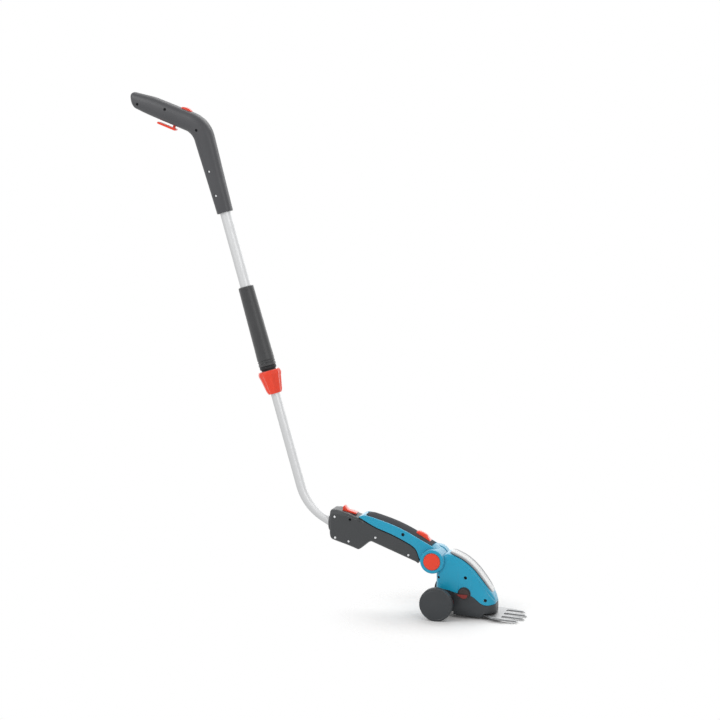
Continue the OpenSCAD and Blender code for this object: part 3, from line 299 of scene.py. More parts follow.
def worked(piece, tools, how):
    """Joins or cuts a piece with tools, and clears away the specks that this leaves."""
    for tool in tools:
        step = piece.modifiers.new(how, "BOOLEAN")
        step.operation, step.solver, step.object = how, "EXACT", tool
    settled(piece)
    for tool in tools:
        bpy.data.objects.remove(tool)
    work = bmesh.new()
    work.from_mesh(piece.data)
    bmesh.ops.remove_doubles(work, verts=work.verts, dist=0.004)
    bmesh.ops.dissolve_degenerate(work, edges=work.edges, dist=0.004)
    work.to_mesh(piece.data)
    work.free()
    return piece


def cut(piece, *tools):
    return worked(piece, tools, "DIFFERENCE")


def fused(piece, *others):
    return worked(piece, others, "UNION")


def placed(piece, place):
    piece.data.transform(place)
    return piece


def mirrored(piece):
    """A copy of a right-hand piece for the left."""
    other = bpy.data.objects.new("blank", piece.data.copy())
    bpy.context.scene.collection.objects.link(other)
    placed(other, Matrix.Scale(-1, 4, (0, 1, 0)))
    other.data.flip_normals()
    return other


def copies(piece, places, marks=None):
    """One mesh with a copy of a piece at each place; marks number the finish of each copy."""
    work = bmesh.new()
    for k, place in enumerate(places):
        mesh = piece.data.copy()
        mesh.transform(place)
        for face in mesh.polygons:
            face.material_index = marks[k] if marks else 0
        work.from_mesh(mesh)
    work.to_mesh(piece.data)
    work.free()
    return piece


def pin(r, low, high, edge=0.0, steps=64):
    """A round pin along Z, with a small chamfer at its far end."""
    return turned([(0, low), (r, low), (r, high - edge), (r - edge, high), (0, high)], steps)


def bore(r, low, flare, high=60.0):
    """A tool for a round hole whose mouth opens a little at the height of the skin."""
    mouth = r + 0.7
    profile = [(0, low), (r, low), (r, flare - 0.7), (mouth, flare + 0.1), (mouth, high), (0, high)]
    return turned(profile, 48)


def seat(piece, name, body, finishes, place, nodes=(), crease=32):
    """Sets a finished piece into the part's frame and onto its body, in place of its CAD nodes."""
    piece.name = piece.data.name = name
    piece.data.transform(place)
    marks = [face.material_index for face in piece.data.polygons]
    piece.data.materials.clear()
    for finish in finishes if isinstance(finishes, list) else [finishes]:
        piece.data.materials.append(finish)
    for face, mark in zip(piece.data.polygons, marks):
        face.use_smooth = True
        face.material_index = mark
    piece.data.set_sharp_from_angle(angle=radians(crease))
    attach(piece, body)
    if nodes:
        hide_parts(*nodes)
    return piece


def seat_halves(right, left, title, body, finishes, place, node):
    """Seats the right and the left shell of a pair."""
    for half, side in ((right, RIGHT), (left, LEFT)):
        name = SIDE_NAMES[side]
        seat(half, f"{title}_{name}", body, finishes, place, [f"{node}_{name}"])


# Finishes

def put(tree, kind, inputs=None, **settings):
    """A shader node with its settings, and its inputs set or linked."""
    node = tree.nodes.new("ShaderNode" + kind)
    for key, value in settings.items():
        setattr(node, key, value)
    for key, value in (inputs or {}).items():
        if isinstance(value, bpy.types.NodeSocket):
            tree.links.new(value, node.inputs[key])
        else:
            node.inputs[key].default_value = value
    return node


def effect(name, inputs, outputs):
    """An empty node group with named inputs and outputs."""
    tree = bpy.data.node_groups.new(name, "ShaderNodeTree")
    for title, kind, value in inputs:
        tree.interface.new_socket(title, in_out="INPUT", socket_type=kind).default_value = value
    for title in outputs:
        tree.interface.new_socket(title, in_out="OUTPUT", socket_type="NodeSocketFloat")
    return tree, tree.nodes.new("NodeGroupInput"), tree.nodes.new("NodeGroupOutput")


FLOAT, VECTOR = "NodeSocketFloat", "NodeSocketVector"


def make_moulded_grain():
    """Fine texture of a moulded surface, and broad soft patches, in millimetres."""
    settings = [("Grain size", FLOAT, 0.6), ("Patch size", FLOAT, 45.0)]
    tree, given, out = effect("Moulded grain", settings, ["Height", "Patches"])
    place = put(tree, "TexCoord").outputs["Object"]
    for size, result, detail in (("Grain size", "Height", 2.0), ("Patch size", "Patches", 3.0)):
        per_metre = put(tree, "Math", {0: 1000.0, 1: given.outputs[size]}, operation="DIVIDE")
        noise = put(tree, "TexNoise", {"Vector": place, "Scale": per_metre.outputs[0], "Detail": detail})
        tree.links.new(noise.outputs["Fac"], out.inputs[result])
    return tree


def make_worn_edges():
    """A mask of the edges, broken up, where hands and grass rub a surface."""
    tree, given, out = effect("Worn edges", [("Edge width", FLOAT, 0.8), ("Amount", FLOAT, 0.5)], ["Mask"])
    radius = put(tree, "Math", {0: given.outputs["Edge width"], 1: 0.001}, operation="MULTIPLY")
    softened = put(tree, "Bevel", {"Radius": radius.outputs[0]}, samples=4)
    plain = put(tree, "NewGeometry")
    normals = {0: softened.outputs[0], 1: plain.outputs["Normal"]}
    along = put(tree, "VectorMath", normals, operation="DOT_PRODUCT")
    edge = put(tree, "MapRange", {"Value": along.outputs["Value"], "From Min": 0.995, "From Max": 0.86})
    place = put(tree, "TexCoord").outputs["Object"]
    noise = put(tree, "TexNoise", {"Vector": place, "Scale": 260.0, "Detail": 4.0})
    broken = put(tree, "MapRange", {"Value": noise.outputs["Fac"], "From Min": 0.42, "From Max": 0.62})
    both = put(tree, "Math", {0: edge.outputs[0], 1: broken.outputs[0]}, operation="MULTIPLY")
    amount = put(tree, "Math", {0: both.outputs[0], 1: given.outputs["Amount"]}, operation="MULTIPLY")
    tree.links.new(amount.outputs[0], out.inputs["Mask"])
    return tree


def make_handling_marks():
    """Faint smears that a used surface picks up."""
    settings = [("Smear size", FLOAT, 30.0), ("Amount", FLOAT, 0.5)]
    tree, given, out = effect("Handling marks", settings, ["Smears"])
    place = put(tree, "TexCoord").outputs["Object"]
    per_metre = put(tree, "Math", {0: 1000.0, 1: given.outputs["Smear size"]}, operation="DIVIDE")
    cloudy = {"Vector": place, "Scale": per_metre.outputs[0], "Detail": 6.0, "Roughness": 0.62}
    noise = put(tree, "TexNoise", cloudy)
    smear = put(tree, "MapRange", {"Value": noise.outputs["Fac"], "From Min": 0.45, "From Max": 0.75})
    level = put(tree, "Math", {0: smear.outputs[0], 1: given.outputs["Amount"]}, operation="MULTIPLY")
    tree.links.new(level.outputs[0], out.inputs["Smears"])
    return tree


def make_drawn_lines():
    """Fine lines left along a drawn tube or across a ground blade."""
    settings = [("Turn", VECTOR, (0, 0, 0)), ("Lines", VECTOR, (3000, 3000, 20))]
    tree, given, out = effect("Drawn lines", settings, ["Height"])
    place = put(tree, "TexCoord").outputs["Object"]
    turned_place = put(tree, "Mapping", {"Vector": place, "Rotation": given.outputs["Turn"]})
    density = {0: turned_place.outputs[0], 1: given.outputs["Lines"]}
    stretched = put(tree, "VectorMath", density, operation="MULTIPLY")
    streaks = {"Vector": stretched.outputs[0], "Scale": 1.0, "Detail": 3.0, "Roughness": 0.6}
    noise = put(tree, "TexNoise", streaks)
    tree.links.new(noise.outputs["Fac"], out.inputs["Height"])
    return tree


MOULDED_GRAIN, WORN_EDGES = make_moulded_grain(), make_worn_edges()
HANDLING_MARKS, DRAWN_LINES = make_handling_marks(), make_drawn_lines()


def using(tree, group, **inputs):
    """A node that holds one of the groups above, with its inputs set."""
    node = tree.nodes.new("ShaderNodeGroup")
    node.node_tree = group
    for key, value in inputs.items():
        node.inputs[key.replace("_", " ")].default_value = value
    return node


def shades(tree, dull, bright, amount):
    """A colour between two shades."""
    between = put(tree, "Mix", {"Factor": amount, "A": dull, "B": bright}, data_type="RGBA")
    return between.outputs["Result"]


def blank_finish(name):
    """A new material with its node tree and its surface node."""
    finish = bpy.data.materials.new(name)
    finish.use_nodes = True
    return finish, finish.node_tree, finish.node_tree.nodes["Principled BSDF"]


def lighter(colour, by):
    return tuple(mix(c, 1.0, by) for c in colour) + (1.0,)


def darker(colour, by):
    return tuple(c * (1 - by) for c in colour) + (1.0,)


def smeared(tree, surface, marks, clean, dull):
    """Roughness that rises where a surface is smeared."""
    level = put(tree, "MapRange", {"Value": marks.outputs["Smears"], "To Min": clean, "To Max": dull})
    tree.links.new(level.outputs[0], surface.inputs["Roughness"])


def raised(tree, surface, height, strength, depth):
    """Relief with a depth in millimetres."""
    bump = put(tree, "Bump", {"Height": height, "Strength": strength, "Distance": depth * 0.001})
    tree.links.new(bump.outputs[0], surface.inputs["Normal"])


def moulded(name, colour, rough, grain, depth, wear=0.25, gloss=0.25, painted_sheen=0.0, pale=0.35):
    """Moulded plastic: grained, a little uneven in shade, paler where it is rubbed, with a painted sheen that
    lightens its colour where it turns edge-on.
    """
    finish, tree, surface = blank_finish(name)
    texture = using(tree, MOULDED_GRAIN, Grain_size=grain)
    marks = using(tree, HANDLING_MARKS, Amount=0.5)
    edges = using(tree, WORN_EDGES, Amount=wear)
    uneven = shades(tree, darker(colour, 0.07), lighter(colour, 0.012), texture.outputs["Patches"])
    worn = shades(tree, uneven, lighter(colour, 0.16), edges.outputs["Mask"])
    # Painted sheen: the colour turns paler where the surface is seen edge-on, standing in for a reflection
    turning = put(tree, "LayerWeight", {"Blend": 0.5})
    rim_light = put(tree, "MapRange", {"Value": turning.outputs["Facing"], "From Min": 0.35, "To Max": painted_sheen})
    with_painted_sheen = shades(tree, worn, lighter(colour, pale), rim_light.outputs[0])
    tree.links.new(with_painted_sheen, surface.inputs["Base Color"])
    smeared(tree, surface, marks, rough, rough + 0.12)
    raised(tree, surface, texture.outputs["Height"], 0.6, depth)
    surface.inputs["Specular IOR Level"].default_value = gloss
    return finish


def metal(name, colour, rough, turn_by, lines, depth, wear=0.2):
    """Drawn or ground metal with fine lines, duller where it is handled."""
    finish, tree, surface = blank_finish(name)
    scoring = using(tree, DRAWN_LINES, Turn=turn_by, Lines=lines)
    marks = using(tree, HANDLING_MARKS, Smear_size=18.0, Amount=0.6)
    edges = using(tree, WORN_EDGES, Edge_width=0.5, Amount=wear)
    lined = shades(tree, darker(colour, 0.05), lighter(colour, 0.03), scoring.outputs["Height"])
    worn = shades(tree, lined, lighter(colour, 0.3), edges.outputs["Mask"])
    tree.links.new(worn, surface.inputs["Base Color"])
    smeared(tree, surface, marks, rough, rough + 0.18)
    raised(tree, surface, scoring.outputs["Height"], 0.35, depth)
    surface.inputs["Metallic"].default_value = 1.0
    return finish


def glazed(name, middle, edge):
    """A clear smoky strip: grey along its edges and pale in the middle, where light shines through."""
    finish, tree, surface = blank_finish(name)
    place = put(tree, "SeparateXYZ", {0: put(tree, "TexCoord").outputs["Object"]})
    out = put(tree, "Math", {0: place.outputs["Y"]}, operation="ABSOLUTE")
    fade = {"Value": out.outputs[0], "From Min": 0.0050, "From Max": 0.0145}
    band = put(tree, "MapRange", fade, interpolation_type="SMOOTHSTEP")
    texture = using(tree, MOULDED_GRAIN, Grain_size=1.4, Patch_size=25.0)
    marks = using(tree, HANDLING_MARKS, Amount=0.4)
    graded = shades(tree, middle + (1.0,), edge + (1.0,), band.outputs[0])
    uneven = put(tree, "MapRange", {"Value": texture.outputs["Patches"], "To Min": 0.0, "To Max": 0.12})
    tree.links.new(shades(tree, graded, darker(edge, 0.3), uneven.outputs[0]), surface.inputs["Base Color"])
    smeared(tree, surface, marks, 0.34, 0.44)
    raised(tree, surface, texture.outputs["Height"], 0.3, 0.004)
    surface.inputs["Specular IOR Level"].default_value = 0.2
    return finish


def foam(name, colour):
    """Closed-cell foam of the grip sleeve: small pores and a soft dull skin."""
    finish, tree, surface = blank_finish(name)
    place = put(tree, "TexCoord").outputs["Object"]
    pores = put(tree, "TexVoronoi", {"Vector": place, "Scale": 1100.0}, feature="F1")
    texture = using(tree, MOULDED_GRAIN, Grain_size=1.6, Patch_size=30.0)
    pitted = put(tree, "MapRange", {"Value": pores.outputs["Distance"], "From Min": 0.15, "From Max": 0.6})
    uneven = shades(tree, darker(colour, 0.2), lighter(colour, 0.02), texture.outputs["Patches"])
    # The pores are painted darker: painted shade in each pit
    skin = shades(tree, darker(colour, 0.3), uneven, pitted.outputs[0])
    tree.links.new(skin, surface.inputs["Base Color"])
    raised(tree, surface, pitted.outputs[0], 0.4, 0.06)
    surface.inputs["Roughness"].default_value = 0.42
    surface.inputs["Sheen Weight"].default_value = 0.2
    return finish


TURQUOISE = (0.008, 0.312, 0.492)
ORANGE = (0.80, 0.048, 0.015)

# Turquoise and orange plastic carry a painted sheen: their colour turns paler where the surface is seen
# edge-on
turquoise_plastic = moulded("Turquoise plastic", TURQUOISE, 0.28, 0.5, 0.004, gloss=0.32, painted_sheen=0.6)
dark_plastic = moulded("Dark grained plastic", (0.031, 0.034, 0.037), 0.42, 0.8, 0.006, gloss=0.5)
grip_plastic = moulded("Grip plastic", (0.047, 0.048, 0.053), 0.44, 0.8, 0.006, gloss=0.5)
base_plastic = moulded("Dark base plastic", (0.020, 0.024, 0.028), 0.40, 0.8, 0.006, gloss=0.5)
# Black plastic, also used as painted shade where the shears handle sinks into the cradle
black_plastic_and_painted_shade = moulded("Black plastic and painted shade", (0.012, 0.013, 0.014), 0.45, 0.7, 0.015)
knob_plastic = moulded("Dark knob plastic", (0.046, 0.034, 0.031), 0.42, 0.6, 0.01)
orange_plastic = moulded("Orange plastic", ORANGE, 0.36, 0.5, 0.003, wear=0.15, gloss=0.35, painted_sheen=0.8)
# The keys' orange: the same orange with a stronger, paler painted sheen on their edge-on tops
key_orange_painted_sheen = moulded("Key orange with painted sheen", ORANGE, 0.36, 0.5, 0.003, wear=0.15, gloss=0.35, painted_sheen=1.0, pale=0.7)
pointer_red = moulded("Deep red pointer", (0.22, 0.026, 0.022), 0.34, 0.5, 0.006, wear=0.2)
smoky_trim = glazed("Smoky glossy trim", (0.70, 0.71, 0.71), (0.20, 0.205, 0.215))
# A dark teal for the trim strip's sides: painted shade along its edges
trim_side_painted_shade = moulded("Trim sides, painted shade", (0.020, 0.045, 0.055), 0.45, 0.7, 0.01, wear=0.1)
soft_rubber = moulded("Soft grip rubber", (0.044, 0.046, 0.052), 0.78, 1.1, 0.03, wear=0.15, gloss=0.2)
sleeve_foam = foam("Sleeve foam", (0.026, 0.027, 0.029))
along_pole = (0, radians(pole_lean), 0)
tube_aluminium = metal("Drawn aluminium", (0.60, 0.605, 0.61), 0.52, along_pole, (2600, 2600, 14), 0.0008)
blade_steel = metal("Ground blade steel", (0.30, 0.305, 0.31), 0.42, (0, 0, 0), (90, 2400, 600), 0.01)
edge_steel = metal("Honed tooth edge", (0.50, 0.51, 0.52), 0.30, (0, 0, 0.8), (3200, 300, 300), 0.006)
screw_steel = metal("Zinc-plated screw", (0.78, 0.79, 0.80), 0.26, (0, 0, 0), (700, 700, 700), 0.006)
black_screw = metal(
    "Blackened screw", (0.012, 0.014, 0.016), 0.45, (0, 0, 0), (700, 700, 700), 0.006, wear=0.03,
)
motor_steel = metal("Motor steel", (0.52, 0.53, 0.54), 0.32, (0, 0, 0), (160, 160, 2000), 0.01)
pinion_brass = metal("Pinion brass", (0.62, 0.44, 0.16), 0.28, (0, 0, 0), (500, 500, 1800), 0.006)
cell_wrap = moulded("Cell wrap", (0.03, 0.22, 0.10), 0.3, 2.0, 0.004, wear=0.1)
board_green = moulded("Board lacquer", (0.02, 0.13, 0.06), 0.28, 1.2, 0.006, wear=0.1)


# Screws

def screw(length, thick=2.0):
    """A pan-head screw along Z with a cross recess, its face at zero."""
    r = screw_r
    head = turned([
        (0, -length), (1.4, -length), (1.4, -thick), (r, -thick), (r, -0.75), (r * 0.94, -0.4),
        (r * 0.8, -0.12), (r * 0.5, 0), (0, 0.03),
    ], 40)
    slot_half, deep = r * 0.17, min(1.0, thick * 0.6)
    foot, mouth = r * 0.42, r * 0.62
    recess = [(-foot, -deep), (foot, -deep), (mouth, 0.5), (-mouth, 0.5)]
    return cut(head, *[placed(drawn(recess, -slot_half, slot_half), turn("Z", a)) for a in (45, 135)])


def on_right(tool, x, z):
    """Sets a hole's tool at a place on the right-hand side."""
    return placed(tool, move(x, 0, z) @ across(RIGHT))


def side_place(x, z, skin):
    """The place of a screw head at a depth of skin in a right-hand shell."""
    return move(x, -skin, z) @ across(RIGHT)


# Pole

def make_tubes():
    """The lower tube, bent at its foot, and the upper tube that slides over it."""
    tangent = bend_r * tan(radians(90 - pole_lean - tube_fall) / 2)
    start, stop = bend_corner + tangent * tube_down, bend_corner + tangent * pole_up
    middle = start + bend_r * Vector((-tube_down.y, tube_down.x))
    a0, a1 = (degrees(atan2(p.y - middle.y, p.x - middle.x)) for p in (start, stop))
    a1 -= 360 * round((a1 - a0) / 360)
    line = [socket + tube_depth * tube_down, socket, start.lerp(socket, 0.3)]
    line += [Vector(p) for p in arc(middle.x, middle.y, bend_r, a0, a1, 28)]
    line += [stop.lerp(pole_foot, f) for f in (0.1, 0.5, 1)] + [pole_foot + inner_top * pole_up]
    runs = []
    for r in (lower_tube_r, lower_bore_r):
        runs.append([])
        for a in spread(0, 354.375, 63):
            row = []
            for k, p in enumerate(line):
                ahead = (line[min(k + 1, len(line) - 1)] - line[max(k - 1, 0)]).normalized()
                out = r * cos(radians(a))
                row.append((p.x - ahead.y * out, r * sin(radians(a)), p.y + ahead.x * out))
            runs[-1].append(row)
    lower = wall(*runs, ring=True)
    seat(lower, "Lower_tube_bent", "lower_pole", tube_aluminium, PART, ["lower_tube"])
    upper = turned([
        (upper_bore_r, tube_start), (upper_tube_r, tube_start),
        (upper_tube_r, tube_top), (upper_bore_r, tube_top),
    ])
    seat(upper, "Upper_tube_drawn", "upper_pole", tube_aluminium, POLE, ["upper_tube"])


def make_sleeve():
    """The foam sleeve, with two grooves near its foot that mark off its end rings."""
    r, foot, top, hole = sleeve_r, sleeve_foot + 0.2, sleeve_foot + sleeve_len, upper_tube_r + 0.1
    profile = [(hole, foot)] + arc(r - 0.9, foot + 0.9, 0.9, -90, 0, 5)
    for z in (foot + 5, foot + 9.5):
        profile += [(r, z - 0.5)] + arc(r + 0.1, z + 0.7, 1.1, 230, 130, 8) + [(r, z + 1.9)]
    profile += [(r - 0.1, foot + 18), (r - 0.5, foot + 34), (r - 1.9, top - 2.6)]
    profile += arc(r - 4.0, top - 2.1, 2.1, 0, 90, 8) + [(hole + 0.6, top - 0.1), (hole, top - 0.5)]
    sleeve = turned(profile, 96)
    seat(sleeve, "Foam_sleeve", "upper_pole", sleeve_foam, POLE, ["grip_sleeve"], crease=28)


def make_clamp():
    """The black neck on the upper tube, and the ribbed collar that turns on it."""
    hole, grip_hole, collet = upper_tube_r + 0.1, lower_tube_r + gap, upper_tube_r + 1.4
    body = turned([
        (grip_hole, 4), (collet - 1.6, 4), (collet, 9), (collet, 19), (neck_r, 19.5),
        (neck_r, collar_len + 2.6), (neck_r + 0.5, collar_len + 3),
        (sleeve_r - 1.2, collar_len + 3.2), (sleeve_r - 0.6, collar_len + 3.8),
        (sleeve_r - 0.6, sleeve_foot - 1.2), (sleeve_r - 1.4, sleeve_foot), (hole, sleeve_foot),
        (hole, tube_start), (grip_hole, tube_start),
    ])
    seat(body, "Clamp_neck", "upper_pole", black_plastic_and_painted_shade, POLE, ["clamp_body"])

    wide, narrow = collar_r - 1.3, lower_tube_r + 4.6
    hollow = collet + gap
    cone = collar_len * 0.72 - 1
    flare = ((0.74, 0.86), (0.78, 0.95), (0.82, 0.99), (0.88, 1))
    skin = [(0, narrow - 1.2), (0.4, narrow - 0.4), (1.4, narrow)]
    skin += [(z, mix(narrow, wide, 0.8 * (z - 1) / cone)) for z in spread(3, collar_len * 0.7, 10)]
    skin += [(collar_len * f, mix(narrow, wide, w)) for f, w in flare]
    skin += [(collar_len - 2.6, wide), (collar_len - 1.2, wide - 0.4)]
    skin += [(collar_len - 0.3, wide - 1.3), (collar_len, wide - 2.2)]

    def ribbed(angle):
        across_rib = abs((angle * collar_ribs / 360 - first_rib * collar_ribs / 360 + 0.5) % 1 - 0.5)
        rise = ease((0.36 - across_rib) / 0.24)
        ends = [ease((z - 1.2) / 3.4) * ease((collar_len - 2.2 - z) / 3.2) for z, _ in skin]
        outer = [(r + rise * end, z) for (z, r), end in zip(skin, ends)]
        return outer + [
            (neck_r + gap, collar_len), (neck_r + gap, 19), (hollow, 18.5), (hollow, 3.5),
            (lower_tube_r + gap, 3), (lower_tube_r + gap, 0.3), (lower_tube_r + gap + 0.3, 0),
        ]

    collar = turned(ribbed, 240)
    seat(collar, "Twist_collar", "clamp_collar", orange_plastic, POLE, ["clamp_collar"])


# Top handle

def spine(l):
    """The handle's middle line in the pole's frame, as X and Z."""
    if l <= stem_len:
        return Vector((0, stem_foot + l))
    a = radians(spine_turn(l))
    bent = Vector((-grip_bend_r + grip_bend_r * cos(a), stem_foot + stem_len + grip_bend_r * sin(a)))
    return bent + max(0, l - stem_len - grip_bend_len) * Vector((-sin(a), cos(a)))


def spine_turn(l):
    """How far the middle line has turned, in degrees."""
    return clamp((l - stem_len) / grip_bend_len, 0, 1) * grip_turn


def grip_half(l):
    """Half the handle's depth along its middle line."""
    return curve([
        (0, stem_depth), (stem_len * 0.5, (stem_depth + grip_depth) / 2 + 0.5), (stem_len, grip_depth + 1.5),
        (stem_len + grip_bend_len / 2, grip_depth + 2), (grip_start, grip_depth + 0.5),
        (spine_len - 45, grip_depth - 1), (spine_len, grip_depth - 5),
    ], l) / 2


def grip_side(l):
    """Half the handle's width along its middle line."""
    return curve([
        (0, stem_depth), (stem_len * 0.6, grip_width - 0.5), (grip_start, grip_width + 1),
        (spine_len - 40, grip_width), (spine_len, grip_width - 3),
    ], l) / 2


GRIP_ANGLES = [-90, -89.4, -88, -85] + spread(-80, 80, 32) + [85, 88, 89.4, 90]
TO_GRIP = move(spine(grip_start).x, 0, spine(grip_start).y) @ turn("Y", -grip_turn)
GRIP = POLE @ TO_GRIP
trigger_l, lock_l = grip_start + 40.5, grip_start + 14.5


def grip_row(l, inset, size):
    """The right half of the handle's section; its edge sinks into the line between the two shells."""
    c, a = spine(l), radians(spine_turn(l))
    droop = 2 * ease((l - spine_len + 50) / 50)
    half, width = (grip_half(l) - droop - inset) * size, (grip_side(l) - inset) * size
    slant = rear_slant * ease((l - spine_len + 40) / 40)
    row = []
    for p in GRIP_ANGLES:
        v = half * copysign(abs(sin(radians(p))) ** 0.8, p) - droop
        y = max(seam, width * abs(cos(radians(p))) ** 0.8)
        if abs(p) == 90 and not inset:
            v -= copysign(min(0.6, half * 0.3), p)
        back = slant * (v - 0.5 * max(0, v) ** 2 / grip_half(l))
        row.append((c.x + v * cos(a) - back * sin(a), -y, c.y + v * sin(a) + back * cos(a)))
    return row


def make_top_handle():
    """The two shells of the top handle, with slots for its keys, and their screws."""
    stations = [(0, 0.975), (0.5, 0.995), (1.2, 1)] + [(l, 1) for l in spread(4, spine_len - rear_cap, 76)]
    for a in spread(7, 90, 12):
        stations.append((spine_len - rear_cap * (1 - sin(radians(a))), max(0.03, cos(radians(a)) ** 0.7)))
    outer = [grip_row(l, 0, size) for l, size in stations]
    inner = [grip_row(l * (spine_len - shell) / spine_len, shell, size) for l, size in stations]
    right = wall(outer, inner)
    trigger_h, lock_h = grip_half(trigger_l), grip_half(lock_l)
    trigger_slot = rounded(block((-trigger_h - 6, -4.4, 24), (-trigger_h + 8, 4.4, 34.8)), 1.2)
    lock_slot = rounded(block((lock_h - 8, -5.4, 3.6), (lock_h + 8, 5.4, 25.4)), 1.2)
    cut(right, placed(trigger_slot, TO_GRIP), placed(lock_slot, TO_GRIP))
    left = mirrored(right)

    on_grip, on_stem = ((5, 50), (-6, 105)), ((-6, 158), (-4, 79), (-4, 33))
    screws = [(TO_GRIP @ move(v, 0, l), grip_side(grip_start + l) - 0.8) for v, l in on_grip]
    screws += [(move(v, 0, stem_foot + l), grip_side(l) - 0.6) for v, l in on_stem]
    cut(right, *[placed(bore(screw_hole_r, 0.5, skin + 0.3), at @ across(RIGHT)) for at, skin in screws])
    seat_halves(right, left, "Top_shell", "upper_pole", grip_plastic, POLE, "top_handle")
    places = [at @ side_place(0, 0, skin - 0.9) for at, skin in screws]
    heads = copies(screw(3.4), places, marks=[1, 1, 1, 0, 0])
    finishes = [screw_steel, black_screw]
    seat(heads, "Top_shell_screws", "upper_pole", finishes, POLE, ["top_handle_screws"])


def make_trigger():
    """The bar under the grip, its stem, and the flange that holds it inside the shells."""
    h = grip_half(trigger_l)
    top = -h - 4 - gap
    bar = drawn(arc(top - 2, 58, 2, 0, 180, 10) + arc(top - 2, 23, 2, 180, 360, 10), -6, 6)
    rounded(bar, 0.9)
    stem = rounded(block((top - 1, -2.4, 24.8), (top + 11.8, 2.4, 29.2)), 0.5)
    flange = block((-h + shell + 2, -6, 22), (-h + shell + 5, 6, 59))
    lever = fused(bar, stem, flange)
    seat(lever, "Trigger_bar", "trigger", orange_plastic, GRIP, ["trigger"])


def make_lock_button():
    """The grooved key on the grip, and the flange that holds it inside the shells."""
    h = grip_half(lock_l)
    key = drawn([
        (h - shell - 4.5, 4), (h + 0.6, 4), (h + 2, 5.8), (h + 2.8, 8), (h + 3.2, 11), (h + 3.3, 14.5),
        (h + 3.2, 18), (h + 2.8, 21), (h + 2, 23.2), (h + 0.6, 25), (h - shell - 4.5, 25),
    ], -5, 5)
    rounded(key, 0.8, angle=50)
    flange = block((h - shell - 6.5, -6.5, 2), (h - shell - 4, 6.5, 27))
    fused(key, flange)
    grooves = []
    for z in (10, 13, 16, 19):
        groove = block((h + 2.75, -4, z - 0.45), (h + 5, 4, z + 0.45))
        grooves.append(rounded(groove, 0.2))
    cut(key, *grooves)
    seat(key, "Lock_out_key", "lock_button", orange_plastic, GRIP, ["lock_button"])


# Shears handle

def rim(s):
    """Height of the cradle's edge along the handle."""
    return curve([
        (-handle_len, 17.2), (-handle_len * 0.78, 13), (-handle_len * 0.55, 13.2), (-handle_len * 0.37, 11.3),
        (-46, 9.5), (-36, 5.5), (-30, -0.5), (cradle_front, -8),
    ], s)


def shoulder(s):
    """Height of the edge around the soft pad."""
    return pad_rise - curve([
        (-handle_len, 16.5), (-handle_len + 7, 11.2), (-handle_len + 17, 9.2), (-handle_len * 0.76, 6.9),
        (-handle_len * 0.58, 5.2), (-handle_len * 0.4, 6.2), (-43, 8.4), (-25, 10.2), (-8, 12.5), (3, 14.8),
    ], s)


def crowning(s):
    """Rise of the handle's middle above its shoulders."""
    rise = 0.3 + 4.8 * ease((s + handle_len) / 22) - 2.6 * ease((s + 45) / 37)
    return rise * (1 - ease((s + 12) / 14))


def pad_sink(s):
    """Depth of the soft pad's seat."""
    return mix(0.25, pad_t, ease((s + handle_len - 4) / 4) * ease((-10 - s) / 3))


def shoulder_round(s, top):
    """Radius of the handle's rounded shoulder."""
    return min(5, (top - max(rim(s), hidden_floor + 7.2) - 0.4) * 0.7)


def handle_section(s, inset):
    """The right half of the handle's section, from its floor to the middle of its top."""
    lo, hid, out = hidden_floor + inset, hidden_half - inset, half_w - inset
    r = max(0.8, 6 - inset)
    step = max(rim(s), lo + r + 1.2)
    top = max(shoulder(s) - inset, step + 1.2)
    rs = min(5, (top - step - 0.4) * 0.7)
    pad, sink = min(pad_half, out - rs * 0.6), pad_sink(s)
    lip = min(0.5, (top - rs - step) * 0.4)
    section = [(seam, lo)] + arc(hid - r, lo + r, r, -90, 0, 5) + [(hid, step - 0.3)]
    section += [(out - lip, step + 0.1), (out - lip * 0.3, step + lip * 0.4), (out, step + lip)]
    section += [(out, mix(step + lip, top - rs, f)) for f in (0.33, 0.66)]
    section += arc(out - rs * 0.6, top - rs, rs, 0, 84, 8, squash=0.6) + [(pad, top), (pad - 0.3, top - sink)]
    for f in (0.9, 0.7, 0.5, 0.3, 0.12, 0):
        section.append((max(seam, pad * f), top + crowning(s) * (1 - f * f) - sink))
    return section


HANDLE_STATIONS = [-handle_len + d for d in (0, 1, 2.5, 4, 6, 8)] + spread(-147, -62, 34) + spread(-60, 2, 44)
START_LOW, START_HIGH = (-49.9, -7.4, 10), (-19.6, 7.4, 50)


def start_slot():
    """A tool for the slot around the start key."""
    return rounded(block(START_LOW, START_HIGH), 1.0)


